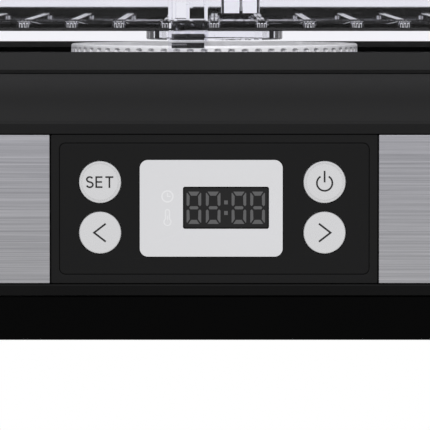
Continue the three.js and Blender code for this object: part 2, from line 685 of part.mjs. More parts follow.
function mainsInlet() {
  const { x, z, halfX, halfZ, radius } = INLET;
  const back = BASE_HALF_Y - 0.2;
  const seat = BASE_HALF_Y - WALL - GAP;
  const socketFloor = 112;
  const body = frontPlate(x, z, halfX, halfZ, radius, socketFloor - 6, back);
  const flange = box(x - halfX - 3, x + halfX + 3, seat - 2, seat, z - halfZ - 3, z + halfZ + 3);
  const cavity = frontPlate(x, z, halfX - 2.8, halfZ - 2.6, 2.4, socketFloor, back + 1);
  const pins = [-5, 5].map((offset) => pin(1.2, x + offset, z - 3, socketFloor - 1, 125, 12));
  return joined([body.add(flange).subtract(cavity), ...pins]);
}

add("power_board", powerBoard(), BOARD_GREEN);
add("mains_inlet", mainsInlet(), BLACK_PLASTIC);
add("mains_lead", wire([
  [98, 105.5, 40], [98, 98, 39], [99, 86, 30], [100, 74, 22],
  [101, 64, 18.4], [102, 56, 18], [103, 50, 18],
], 2), WIRE_BLACK);
add("ribbon_cable", wire([
  [38, -110.5, 33], [38, -104, 33], [46, -90, 28], [66, -60, 22],
  [92, -30, 20], [98, -16, 17.6], [98, -8, 17.6],
], 1.5), WIRE_BLACK);
add("motor_leads", wire([
  [26.8, 0, 36], [32, 0, 36], [48, 0, 30], [66, 4, 24], [78, 8, 19], [83, 9, 17.8],
], 1.5), WIRE_BLACK);

// ---------------------------------------------------------------- trays

const LEG_WIDTH = 14.1;
const LEG_DEPTH = 4;
const TAB_DEPTH = 6.5; // a tab behind each leg drops inside the rim, or inside the tray below
const TAB_DROP = 1.6;
const LEG_X = -9.4; // front and rear legs stand left of the middle, sockets right of it
const SIDE_LEG_Y = 40; // side legs stand behind the middle, sockets in front of it
const RIB = 1.6;
const SOCKET_LIFT = 6.2; // the sockets stop this far above the tray floor
const RING_OUTSIDE = 26;
const RING_INSIDE = 22;
const RING_DROP = 4.8;

// Two ribs that guide a leg, on the front wall; turned and moved for the other walls.
function socketRibs(z0) {
  const half = LEG_WIDTH / 2;
  return [-1, 1].map((side) => {
    const x0 = side > 0 ? half - RIB : -half;
    return box(x0, x0 + RIB, 0, TAB_DEPTH, z0 + SOCKET_LIFT, z0 + TRAY_WALL_HEIGHT - 0.5);
  });
}

function leg(z0) {
  const half = LEG_WIDTH / 2;
  const foot = z0 - LEG_DROP;
  const head = z0 + TRAY_WALL_HEIGHT;
  const column = box(-half, half, 0, LEG_DEPTH, foot, head);
  const web = box(-half, half, 1, LEG_DEPTH + 1, foot + 1, head - TAB_DROP - 2 * GAP);
  const tab = box(-half, half, LEG_DEPTH + GAP, TAB_DEPTH, foot - TAB_DROP, head - TAB_DROP - 2 * GAP);
  return joined([column, web, tab]);
}

// Places a piece made against the front wall on the front, right, rear or left wall.
function onWalls(piece, frontX, sideY) {
  const inY = TRAY_HALF_Y - 0.6;
  const inX = TRAY_HALF_X - 0.6;
  return [
    piece.translate([frontX, -inY, 0]),
    piece.rotate([0, 0, 180]).translate([frontX, inY, 0]),
    piece.rotate([0, 0, 90]).translate([inX, sideY, 0]),
    piece.rotate([0, 0, -90]).translate([-inX, sideY, 0]),
  ];
}

function tray(z0) {
  const top = z0 + TRAY_WALL_HEIGHT;
  const outer = stacked([
    [z0, TRAY_HALF_X, TRAY_HALF_Y, TRAY_CORNER],
    [top, TRAY_HALF_X + 1, TRAY_HALF_Y + 1, TRAY_CORNER + 1],
  ]);
  const inner = stacked([
    [z0 + TRAY_FLOOR, TRAY_HALF_X - TRAY_SKIN, TRAY_HALF_Y - TRAY_SKIN, TRAY_CORNER - TRAY_SKIN],
    [top + 1, TRAY_HALF_X + 1 - TRAY_SKIN, TRAY_HALF_Y + 1 - TRAY_SKIN, TRAY_CORNER + 1 - TRAY_SKIN],
  ]);
  const openFloor = stacked([z0 - 1, z0 + TRAY_FLOOR + 1].map((height) => [
    height, TRAY_HALF_X - TRAY_FRAME, TRAY_HALF_Y - TRAY_FRAME, TRAY_CORNER - TRAY_FRAME,
  ]));
  const bars = [];
  for (let i = -8; i <= 8; i += 1) {
    const x0 = i * BAR_PITCH - BAR_WIDTH / 2;
    bars.push(box(x0, x0 + BAR_WIDTH, -TRAY_HALF_Y + 5, TRAY_HALF_Y - 5, z0, z0 + TRAY_FLOOR));
  }
  const ring = turned([
    [RING_INSIDE, z0 - RING_DROP], [RING_OUTSIDE, z0 - RING_DROP], [RING_OUTSIDE, z0 + TRAY_FLOOR],
    [RING_INSIDE, z0 + TRAY_FLOOR], [RING_INSIDE, z0 - RING_DROP],
  ], 20);
  const core = post((RING_INSIDE + RING_OUTSIDE) / 2, 0, 0, z0 - 1, z0 + TRAY_FLOOR + 1, 20);
  const grid = joined(bars).subtract(core);
  const legs = onWalls(leg(z0), LEG_X, SIDE_LEG_Y);
  const sockets = socketRibs(z0).flatMap((rib) => onWalls(rib, -LEG_X, -SIDE_LEG_Y));
  const shell = cutBy(outer, [inner, openFloor]);
  return joined([shell, grid, ring, ...legs, ...sockets]);
}

const FIRST_TRAY_Z = RIM_TOP + GAP + LEG_DROP;
for (let i = 0; i < TRAY_COUNT; i += 1) {
  add(`tray_${i + 1}`, tray(FIRST_TRAY_Z + i * TRAY_PITCH), CLEAR_PLASTIC);
}

// ---------------------------------------------------------------- lid

const LID_REST = FIRST_TRAY_Z + (TRAY_COUNT - 1) * TRAY_PITCH + TRAY_WALL_HEIGHT + GAP;
const LID_SKIRT = 4.2; // the skirt hangs this far outside the top tray's wall
const LID_SHEET = 2.4;
const LID_BORDER = 7; // the lid's edge is solid this far in
const LID_GROWTH = 3.7; // the lid is this much larger all round than a tray's floor
const VENT_X = 100;
const VENT_PITCH = 11;
const HANDLE_GAP = 37; // half the length of the finger gap

// A lid section at a height, drawn in by an inset.
function lidSection(height, inset) {
  const growth = LID_GROWTH - inset;
  return [height, TRAY_HALF_X + growth, TRAY_HALF_Y + growth, TRAY_CORNER + growth];
}

// A bridge handle across the middle of the lid, with a gap for the fingers under it.
function lidHandle(crown) {
  const top = crown + HANDLE_RISE;
  const block = stacked([[crown - 1, 50, 10, 6], [top - 2, 46, 9, 6], [top, 44, 7, 5]]);
  return block.subtract(box(-HANDLE_GAP, HANDLE_GAP, -20, 20, crown, top - 5));
}

function lid() {
  const bottom = LID_REST - LID_SKIRT;
  const crown = bottom + LID_HEIGHT;
  const shell = stacked([
    lidSection(bottom, 0), lidSection(crown - 3, 0), lidSection(crown - 0.9, 0.9), lidSection(crown, 3),
  ]);
  const skirtInside = stacked([lidSection(bottom - 1, 2), lidSection(LID_REST, 2)]);
  const hollow = stacked([
    lidSection(LID_REST - 1, LID_BORDER), lidSection(crown - LID_SHEET, LID_BORDER),
  ]);
  const vents = [];
  for (let i = -3; i <= 3; i += 1) {
    [-1, 1].forEach((side) => {
      const x = side * VENT_X + i * VENT_PITCH;
      vents.push(box(x - 2, x + 2, -42, 42, crown - 6, crown + 1));
    });
  }
  return cutBy(shell, [skirtInside, hollow, ...vents]).add(lidHandle(crown));
}

add("lid", lid(), CLEAR_PLASTIC);

export default dehydrator;
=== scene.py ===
import json
import math

import bmesh
import bpy
from mathutils import Matrix, Vector

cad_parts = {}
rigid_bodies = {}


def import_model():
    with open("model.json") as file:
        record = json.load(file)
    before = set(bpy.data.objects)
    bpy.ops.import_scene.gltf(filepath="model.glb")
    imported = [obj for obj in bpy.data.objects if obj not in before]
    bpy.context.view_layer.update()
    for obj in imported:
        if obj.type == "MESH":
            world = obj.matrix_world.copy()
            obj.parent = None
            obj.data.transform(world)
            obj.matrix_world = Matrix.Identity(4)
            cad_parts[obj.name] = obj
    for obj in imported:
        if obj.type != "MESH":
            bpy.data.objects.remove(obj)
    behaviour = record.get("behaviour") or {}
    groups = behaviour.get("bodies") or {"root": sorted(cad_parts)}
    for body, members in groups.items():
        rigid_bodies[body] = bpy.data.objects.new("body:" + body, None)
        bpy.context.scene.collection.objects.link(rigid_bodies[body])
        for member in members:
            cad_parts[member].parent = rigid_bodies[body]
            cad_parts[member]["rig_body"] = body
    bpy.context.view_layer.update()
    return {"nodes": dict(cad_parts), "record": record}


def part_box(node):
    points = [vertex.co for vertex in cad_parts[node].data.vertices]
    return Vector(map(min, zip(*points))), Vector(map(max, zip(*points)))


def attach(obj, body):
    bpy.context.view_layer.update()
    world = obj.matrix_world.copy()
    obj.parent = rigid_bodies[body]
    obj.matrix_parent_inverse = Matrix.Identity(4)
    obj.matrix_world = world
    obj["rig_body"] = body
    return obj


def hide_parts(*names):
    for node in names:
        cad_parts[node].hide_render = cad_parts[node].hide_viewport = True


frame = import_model()

# Lengths are in millimetres. made() turns a finished mesh into metres.
MM = 0.001
NODES = frame["nodes"]
SLOT_OF = {part["node"]: part["material_slot"] for part in frame["record"]["subparts"]}


def corners(node):
    """The lowest and highest corners of a CAD node, in millimetres."""
    low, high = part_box(node)
    return low / MM, high / MM


# ---------------------------------------------------------------- sizes

HOUSING_HIGH = corners("housing")[1]
BASE_HALF_X, BASE_HALF_Y, HOUSING_TOP = HOUSING_HIGH
BASE_CORNER = 30
WALL = 2.6
GAP = 0.3
FOOT_TOP = corners("bottom_cover")[0].z
SKIRT_TOP = 19
BAND_BOTTOM = corners("steel_band_left")[0].z
BAND_TOP = corners("steel_band_left")[1].z
BAND_END = corners("steel_band_left")[1].y
SHOULDER_BOTTOM = 80.8
SHOULDER_TURN = math.radians(55)
SHOULDER_RADIUS = (HOUSING_TOP - SHOULDER_BOTTOM) / math.sin(SHOULDER_TURN)
RIM_TOP = corners("deck")[1].z
RIM_INSET = BASE_HALF_X - corners("deck")[1].x
RIM_WIDTH = 3.5
CORNER_STEPS = 14


# ---------------------------------------------------------------- shader sums

class Wire:
    """One output in a material's nodes. Sums on wires add the nodes that work them out."""

    def __init__(self, socket):
        self.socket = socket

    def node(self, kind, settings=None, inputs=None, output=0):
        """Adds a node of any kind: its settings first, then the values or wires of its inputs."""
        tree = self.socket.id_data
        made_node = tree.nodes.new(kind)
        for name, value in (settings or {}).items():
            if name == "stops":
                set_stops(made_node.color_ramp, value)
            else:
                setattr(made_node, name, value)
        for name, value in (inputs or {}).items():
            if isinstance(value, Wire):
                tree.links.new(value.socket, made_node.inputs[name])
            else:
                made_node.inputs[name].default_value = value
        return Wire(made_node.outputs[output])

    def sum(self, operation, *values):
        return self.node("ShaderNodeMath", {"operation": operation}, dict(enumerate(values)))

    def __add__(self, other):
        return self.sum("ADD", self, other)

    def __radd__(self, other):
        return self.sum("ADD", other, self)

    def __sub__(self, other):
        return self.sum("SUBTRACT", self, other)

    def __rsub__(self, other):
        return self.sum("SUBTRACT", other, self)

    def __mul__(self, other):
        return self.sum("MULTIPLY", self, other)

    def __rmul__(self, other):
        return self.sum("MULTIPLY", other, self)

    def __truediv__(self, other):
        return self.sum("DIVIDE", self, other)

    def __abs__(self):
        return self.sum("ABSOLUTE", self)

    def over(self, low, high):
        """0 where the value is under low, 1 where it is over high, and a smooth step between."""
        settings = {"interpolation_type": "SMOOTHSTEP"}
        return self.node("ShaderNodeMapRange", settings, {
            "Value": self, "From Min": low, "From Max": high})

    def stretched(self, x, y, z):
        settings = {"operation": "MULTIPLY"}
        return self.node("ShaderNodeVectorMath", settings, {0: self, 1: (x, y, z)})

    def noise(self, scale, detail=2.0, roughness=0.5):
        return self.node("ShaderNodeTexNoise", None, {
            "Vector": self, "Scale": scale, "Detail": detail, "Roughness": roughness})

    def cells(self, scale, output=0):
        return self.node("ShaderNodeTexVoronoi", None, {"Vector": self, "Scale": scale}, output)

    def part(self, letter):
        return self.node("ShaderNodeSeparateXYZ", None, {0: self}, "XYZ".index(letter))

    def blend(self, dark, light):
        """This value as a colour between two colours."""
        return self.node("ShaderNodeMix", {"data_type": "RGBA"}, {
            0: self, 6: shade(dark), 7: shade(light)}, 2)

    def bump(self, depth, strength=1.0):
        """This value as a relief of that depth in millimetres."""
        return self.node("ShaderNodeBump", None, {
            "Height": self, "Distance": depth * MM, "Strength": strength})


def shade(colour):
    if isinstance(colour, Wire):
        return colour
    if isinstance(colour, (int, float)):
        return (colour, colour, colour, 1)
    return (*colour, 1)


def set_stops(ramp, stops):
    while len(ramp.elements) < len(stops):
        ramp.elements.new(1)
    for element, (place, value) in zip(ramp.elements, stops):
        element.position = place
        element.color = shade(value)


class Finish:
    """A material under way. place is where a point is on the object, in metres."""

    def __init__(self, name, **fixed):
        self.material = bpy.data.materials.new(name)
        self.material.use_nodes = True
        tree = self.material.node_tree
        self.shader = tree.nodes["Principled BSDF"]
        for socket, value in fixed.items():
            self.shader.inputs[socket.replace("_", " ")].default_value = value
        source = tree.nodes.new("ShaderNodeTexCoord")
        self.place = Wire(source.outputs["Object"])

    def vary(self, socket, wire):
        self.material.node_tree.links.new(wire.socket, self.shader.inputs[socket])
        return self


# ---------------------------------------------------------------- finishes

def moulded(name, dark, light, roughness=0.42, grain=0.02, painted_light_heights=(), **fixed):
    """Injection-moulded plastic: a fine spark grain and a slightly uneven sheen. The list of heights
    paints light and shade into its colours on the way up: each entry is where the change starts and
    ends, in millimetres, and two colours."""
    finish = Finish(name, **fixed)
    cloud = finish.place.noise(14, 3)
    fine = finish.place.noise(2600, 2, 0.6)
    pits = finish.place.cells(1500)
    tone = cloud * 0.6 + fine * 0.4
    colour = tone.blend(dark, light)
    for start, end, darker, lighter in painted_light_heights:
        risen = finish.place.part("Z").over(start * MM, end * MM)
        colour = risen.blend(colour, tone.blend(darker, lighter))
    finish.vary("Base Color", colour)
    finish.vary("Roughness", roughness - 0.05 + 0.06 * cloud + 0.06 * fine)
    finish.vary("Normal", (0.6 * fine + 0.4 * pits).bump(grain, 0.6))
    return finish.material


def smooth_film(name, dark, light, roughness=0.3, **fixed):
    """A printed polycarbonate film or a polished moulding, with faint wipe marks in its sheen."""
    finish = Finish(name, **fixed)
    cloud = finish.place.noise(9, 4, 0.6)
    wipes = finish.place.stretched(30, 30, 260).noise(6, 3)
    finish.vary("Base Color", cloud.blend(dark, light))
    finish.vary("Roughness", roughness - 0.03 + 0.05 * wipes + 0.03 * cloud)
    finish.vary("Normal", finish.place.noise(420, 2).bump(0.004, 0.4))
    return finish.material


def brushed(name, dark, light, roughness=0.34, along=(6, 6, 2600), **fixed):
    """Metal brushed in long strokes that run level along the sheet."""
    finish = Finish(name, Metallic=1.0, **fixed)
    strokes = finish.place.stretched(*along).noise(1, 5, 0.72)
    fine = finish.place.stretched(along[0] * 3, along[1] * 3, along[2] * 2.3).noise(1, 4, 0.8)
    cloud = finish.place.noise(11, 2)
    grain = 0.55 * strokes + 0.45 * fine
    finish.vary("Base Color", (grain + 0.16 * cloud - 0.08).over(0.3, 0.72).blend(dark, light))
    finish.vary("Roughness", roughness - 0.08 + 0.18 * grain + 0.04 * cloud)
    finish.vary("Normal", grain.bump(0.03, 0.35))
    return finish.material


def bare_metal(name, dark, light, roughness=0.35, **fixed):
    """Plain or plated metal with a mottled surface and hairline scratches."""
    finish = Finish(name, Metallic=1.0, **fixed)
    mottle = finish.place.noise(90, 4, 0.6)
    scratches = finish.place.stretched(200, 900, 900).noise(2, 3, 0.7)
    finish.vary("Base Color", (0.6 * mottle + 0.4 * scratches).blend(dark, light))
    finish.vary("Roughness", roughness - 0.1 + 0.22 * mottle)
    finish.vary("Normal", (mottle + scratches).bump(0.02, 0.4))
    return finish.material


def clear_moulding():
    """Clear polycarbonate with the faint waviness of a moulded sheet."""
    finish = Finish("clear_plastic", IOR=1.5, Transmission_Weight=1.0,
                    Specular_Tint=(0.35, 0.35, 0.35, 1))
    waves = finish.place.noise(60, 2)
    finish.vary("Base Color", waves.blend((0.92, 0.92, 0.955), (0.97, 0.97, 0.985)))
    finish.vary("Roughness", 0.015 + 0.03 * finish.place.noise(300, 3))
    finish.vary("Normal", waves.bump(0.05, 0.12))
    return finish.material


def circuit_board():
    """Green solder mask over copper tracks, with the tracks' edges standing a little proud."""
    finish = Finish("board_green")
    tracks = finish.place.stretched(900, 900, 900).cells(0.4)
    lines = abs(tracks - 0.5).over(0.02, 0.08)
    finish.vary("Base Color", lines.blend((0.03, 0.22, 0.08), (0.008, 0.08, 0.035)))
    finish.vary("Roughness", 0.28 + 0.1 * finish.place.noise(200, 2))
    finish.vary("Normal", lines.bump(0.03, 0.5))
    return finish.material


def rubber():
    finish = Finish("rubber")
    speckle = finish.place.noise(1800, 3)
    dust = finish.place.noise(40, 4)
    finish.vary("Base Color", (0.5 * dust + 0.5 * speckle).blend(0.008, 0.03))
    finish.vary("Roughness", 0.78 + 0.15 * dust)
    finish.vary("Normal", speckle.bump(0.05, 0.5))
    return finish.material


def mica():
    """Pressed mica sheet: pale brown flakes in layers."""
    finish = Finish("mica")
    flakes = finish.place.cells(420, 1)
    sheen = finish.place.cells(420)
    finish.vary("Base Color", flakes.part("X").blend((0.36, 0.25, 0.13), (0.62, 0.48, 0.28)))
    finish.vary("Roughness", 0.35 + 0.4 * sheen)
    finish.vary("Normal", sheen.bump(0.05, 0.5))
    return finish.material


FINISHES = {
    # The housing's black has light and shade painted in by height: darkest on the upright strip under
    # the shoulder, a painted highlight at the crease from 79.9 to 80.4 mm, and paler from 88 to 100 mm
    # towards the shoulder's top, where the light falls.
    "black_housing": moulded("black_housing", 0.0105, 0.0135, 0.5, Specular_IOR_Level=0.1, painted_light_heights=(
        (79.9, 80.4, 0.022, 0.027), (82, 90, 0.016, 0.02), (88, 100, 0.042, 0.048))),
    "panel_black": moulded("panel_black", 0.01, 0.013, 0.45, Specular_IOR_Level=0.1),
    "panel_film": smooth_film("panel_film", 0.0095, 0.0115, 0.4, Specular_IOR_Level=0.1),
    "window_grey": smooth_film("window_grey", (0.78, 0.78, 0.785), (0.82, 0.82, 0.825), 0.32),
    "led_dark": smooth_film("led_dark", 0.012, 0.015, 0.3, Specular_IOR_Level=0.2),
    "key_grey": moulded("key_grey", 0.72, 0.77, 0.45, 0.01),
    "brushed_steel": brushed("brushed_steel", (0.29, 0.29, 0.305), (0.58, 0.576, 0.6), 0.36),
    # The grille is black steel with painted shade on top: a near-black with hardly any gloss, for a
    # grille deep in the deck's well.
    "dark_steel": moulded("dark_steel", 0.003, 0.006, 0.6, 0.03, Specular_IOR_Level=0.02),
    "bare_steel": bare_metal("bare_steel", (0.4, 0.41, 0.42), (0.62, 0.63, 0.64)),
    "cap_white": moulded("cap_white", (0.93, 0.925, 0.95), (0.96, 0.955, 0.98), 0.25, 0.008),
    "fan_plastic": moulded("fan_plastic", 0.02, 0.035, 0.5),
    "rubber": rubber(),
    "board_green": circuit_board(),
    "bronze": bare_metal("bronze", (0.35, 0.19, 0.07), (0.6, 0.36, 0.14), 0.4),
    "mica": mica(),
    "nichrome": bare_metal("nichrome", (0.16, 0.13, 0.12), (0.36, 0.32, 0.3), 0.45),
    "wire_black": moulded("wire_black", 0.01, 0.02, 0.6, 0.04),
    "clear_plastic": clear_moulding(),
}
# Painted highlight and glow: a pale finish that glows a little, for the clear trays' rounded edges,
# beads, ribs and pads, where clear plastic's edges catch the light.
EDGE_HIGHLIGHT_GLOW = moulded("painted_edge_highlight", (0.78, 0.78, 0.82), (0.88, 0.88, 0.93), 0.4, 0.01,
                  Emission_Color=(0.9, 0.9, 0.95, 1), Emission_Strength=0.3)
SEGMENT_GREY = smooth_film("segment_grey", 0.118, 0.135, 0.5, Specular_IOR_Level=0.2)
DARK_INK = smooth_film("dark_ink", 0.01, 0.014, 0.5, Specular_IOR_Level=0.3)
WHITE_INK = smooth_film("white_ink", 0.9, 0.94, 0.5)
# Painted shade: the bottom cover's black, far darker than the housing's and almost without gloss, for a
# skirt that faces down out of the light.
SKIRT_PAINTED_SHADE = moulded("skirt_painted_shade", 0.001, 0.002, 0.6, 0.02, Specular_IOR_Level=0.03)
# Painted light: the deck's black, paler than the housing's, for a rim that catches the light above the
# housing.
RIM_PAINTED_LIGHT = moulded("rim_painted_light", 0.028, 0.034, 0.5, Specular_IOR_Level=0.1)
# Painted shade: a darker black with little gloss for the housing's lip under the steel band.
LIP_PAINTED_SHADE = moulded("lip_painted_shade", 0.004, 0.006, 0.55, Specular_IOR_Level=0.08)
# Painted shade: a near-black without gloss for the band's recess and the deck's well, where shade falls.
RECESS_PAINTED_SHADE = moulded("recess_painted_shade", 0.003, 0.006, 0.7, 0.03, Specular_IOR_Level=0.0)


# ---------------------------------------------------------------- making meshes

def made(name, mesh):
    """An object from a bmesh in millimetres, with its normals facing out."""
    bmesh.ops.recalc_face_normals(mesh, faces=mesh.faces)
    data = bpy.data.meshes.new(name)
    mesh.to_mesh(data)
    mesh.free()
    data.transform(Matrix.Scale(MM, 4))
    thing = bpy.data.objects.new(name, data)
    bpy.context.scene.collection.objects.link(thing)
    return thing


def loft(name, rings, looped=False):
    """A skin through rings of points, each with the same count. looped joins the last to the first."""
    mesh = bmesh.new()
    rows = [[mesh.verts.new(point) for point in ring] for ring in rings]
    pairs = list(zip(rows, rows[1:]))
    if looped:
        pairs.append((rows[-1], rows[0]))
    for low, high in pairs:
        for i, corner in enumerate(low):
            after = (i + 1) % len(low)
            mesh.faces.new((corner, low[after], high[after], high[i]))
    if not looped:
        mesh.faces.new(rows[0][::-1])
        mesh.faces.new(rows[-1])
    return made(name, mesh)


def plan(half_x, half_y, radius, z=None, steps=CORNER_STEPS, guard=0.0):
    """A rounded rectangle seen from above. A guard adds a point that far before and after each corner,
    which keeps the straight sides' shading flat."""
    points = []
    for quarter, (side_x, side_y) in enumerate(((1, 1), (-1, 1), (-1, -1), (1, -1))):
        for step in range(steps + 1):
            angle = (quarter + step / steps) * math.pi / 2
            x = side_x * (half_x - radius) + radius * math.cos(angle)
            y = side_y * (half_y - radius) + radius * math.sin(angle)
            spots = [(x, y)]
            if guard and step == 0:
                spots.insert(0, (x + guard * math.sin(angle), y - guard * math.cos(angle)))
            if guard and step == steps:
                spots.append((x - guard * math.sin(angle), y + guard * math.cos(angle)))
            points += spots if z is None else [(px, py, z) for px, py in spots]
    return points


def base_ring(z, inset):
    return plan(BASE_HALF_X - inset, BASE_HALF_Y - inset, BASE_CORNER - inset, z)


def base_loft(name, sections, looped=False):
    """A loft of the base's outline through (height, inset) pairs."""
    return loft(name, [base_ring(z, inset) for z, inset in sections], looped)


def box(name, x0, x1, y0, y1, z0, z1):
    return loft(name, [[(x0, y0, z), (x1, y0, z), (x1, y1, z), (x0, y1, z)] for z in (z0, z1)])


def turned(name, profile, sides=64, looped=False):
    """A profile of (radius, height) pairs turned about the upright axis."""
    rings = []
    for radius, height in profile:
        turns = [2 * math.pi * i / sides for i in range(sides)]
        rings.append([(radius * math.cos(a), radius * math.sin(a), height) for a in turns])
    return loft(name, rings, looped)


def circle(x, y, radius, sides=48):
    turns = [2 * math.pi * i / sides for i in range(sides)]
    return [(x + radius * math.cos(a), y + radius * math.sin(a)) for a in turns]


def at(outline, x, y):
    return [(x + px, y + py) for px, py in outline]


def capsule(x, y, half_x, half_y, steps=6):
    """A slot outline with round ends."""
    return at(plan(half_x, half_y, min(half_x, half_y) * 0.999, None, steps), x, y)


def plate(name, outlines, z0, z1):
    """A flat plate from its outline and the outlines of its holes."""
    curve = bpy.data.curves.new(name, "CURVE")
    curve.dimensions = "2D"
    curve.fill_mode = "BOTH"
    curve.extrude = (z1 - z0) / 2
    for outline in outlines:
        spline = curve.splines.new("POLY")
        spline.points.add(len(outline) - 1)
        spline.use_cyclic_u = True
        for point, (x, y) in zip(spline.points, outline):
            point.co = (x, y, 0, 1)
    holder = bpy.data.objects.new(name, curve)
    bpy.context.scene.collection.objects.link(holder)
    whole = bpy.context.evaluated_depsgraph_get()
    data = bpy.data.meshes.new_from_object(holder.evaluated_get(whole))
    bpy.data.objects.remove(holder)
    bpy.data.curves.remove(curve)
    mesh = bmesh.new()
    mesh.from_mesh(data)
    bpy.data.meshes.remove(data)
    bmesh.ops.remove_doubles(mesh, verts=mesh.verts, dist=1e-4)
    bmesh.ops.translate(mesh, verts=mesh.verts, vec=(0, 0, (z0 + z1) / 2))
    return made(name, mesh)


def front_plate(name, outlines, front, back):
    """A plate whose outlines are seen from the front, between two depths."""
    return to_front(plate(name, outlines, -back, -front))


def to_front(thing):
    """Turns a piece made lying flat so that its top faces the front."""
    thing.data.transform(Matrix.Rotation(math.pi / 2, 4, "X"))
    return thing


def moved(thing, x=0, y=0, z=0):
    thing.data.transform(Matrix.Translation(Vector((x, y, z)) * MM))
    return thing


def spun(thing, degrees):
    thing.data.transform(Matrix.Rotation(math.radians(degrees), 4, "Z"))
    return thing


def copy_of(thing, name):
    twin = bpy.data.objects.new(name, thing.data.copy())
    bpy.context.scene.collection.objects.link(twin)
    return twin


def heap(things, name=None):
    """Several pieces as one object, left as separate shells."""
    first = things[0]
    mesh = bmesh.new()
    for thing in things:
        mesh.from_mesh(thing.data)
    mesh.to_mesh(first.data)
    mesh.free()
    for thing in things[1:]:
        bpy.data.objects.remove(thing)
    if name:
        first.name = name
    return first


def settle(thing):
    """Works a piece's modifiers into its mesh."""
    whole = bpy.context.evaluated_depsgraph_get()
    data = bpy.data.meshes.new_from_object(thing.evaluated_get(whole))
    thing.modifiers.clear()
    old = thing.data
    thing.data = data
    bpy.data.meshes.remove(old)
    return thing


def combine(block, tool, operation):
    change = block.modifiers.new(operation.lower(), "BOOLEAN")
    change.operation = operation
    change.solver = "EXACT"
    change.object = tool
    settle(block)
    bpy.data.objects.remove(tool)
    return block


def carve(block, *tools):
    for tool in tools:
        combine(block, tool, "DIFFERENCE")
    return block


def unite(block, *others):
    for other in others:
        combine(block, other, "UNION")
    return block


def soften(thing, width, segments=2, angle=40, mark=False):
    """Rounds the sharp edges by a width in millimetres. It can mark the rounded faces for a second
    finish."""
    change = thing.modifiers.new("edges", "BEVEL")
    if mark:
        thing.data.materials.append(None)
        thing.data.materials.append(None)
        change.material = 1
    change.width = width * MM
    change.segments = segments
    change.limit_method = "ANGLE"
    change.angle_limit = math.radians(angle)
    change.use_clamp_overlap = True
    return settle(thing)


def finished(thing, node, finish=None, stands_for=True, smooth=35, edges=None):
    """Gives a piece its finish, its smooth faces, the body it rides on and the CAD node it stands for.
    edges is a finish for the faces that soften() marked."""
    marks = [face.material_index for face in thing.data.polygons]
    thing.data.materials.clear()
    thing.data.materials.append(finish or FINISHES[SLOT_OF[node]])
    if edges:
        thing.data.materials.append(edges)
        thing.data.polygons.foreach_set("material_index", marks)
    thing.data.shade_smooth()
    thing.data.set_sharp_from_angle(angle=math.radians(smooth))
    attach(thing, NODES[node]["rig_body"])
    if stands_for:
        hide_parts(node)
    return thing


def second_finish(thing, finish, chosen):
    """Gives another finish to the faces whose middle, in millimetres, is one of those chosen."""
    thing.data.materials.append(finish)
    for face in thing.data.polygons:
        if chosen(face.center / MM):
            face.material_index = len(thing.data.materials) - 1


# ---------------------------------------------------------------- housing

LOUVRE_PITCH = 11
INLET_X, INLET_Z = 98, 40
PANEL_LOW, PANEL_HIGH = corners("panel_overlay")
PANEL_HALF_X = 58
BAND_RECESS = 1.1
LEDGE = BAND_BOTTOM - 0.55


def shoulder_points(inset, steps=12):
    points = []
    for step in range(steps + 1):
        angle = SHOULDER_TURN * step / steps
        drawn_in = SHOULDER_RADIUS * (1 - math.cos(angle))
        points.append((SHOULDER_BOTTOM + SHOULDER_RADIUS * math.sin(angle), inset + drawn_in))
    return points


def open_outline(inset, end_y):
    """The base's outline from one rear corner round the front to the other, as (x, y) points."""
    radius = BASE_CORNER - inset
    half_x, half_y = BASE_HALF_X - inset, BASE_HALF_Y - inset
    points = [(half_x, end_y)]
    for step in range(CORNER_STEPS + 1):
        angle = -step / CORNER_STEPS * math.pi / 2
        x = half_x - radius + radius * math.cos(angle)
        y = -half_y + radius + radius * math.sin(angle)
        points.append((x, y))
    return points + [(-x, y) for x, y in points[::-1]]


def band_sweep(name, outer, inner, z0, z1, end_y, keep):
    """A strip that follows the base's outline, between two insets and two heights."""
    outside, inside = open_outline(outer, end_y)[keep], open_outline(inner, end_y)[keep]
    rings = []
    for (ox, oy), (ix, iy) in zip(outside, inside):
        rings.append([(ox, oy, z0), (ox, oy, z1), (ix, iy, z1), (ix, iy, z0)])
    return rings if name is None else loft(name, rings)


SCREW_SPOTS = [(-144, -72), (144, -72), (144, 72), (-144, 72)]


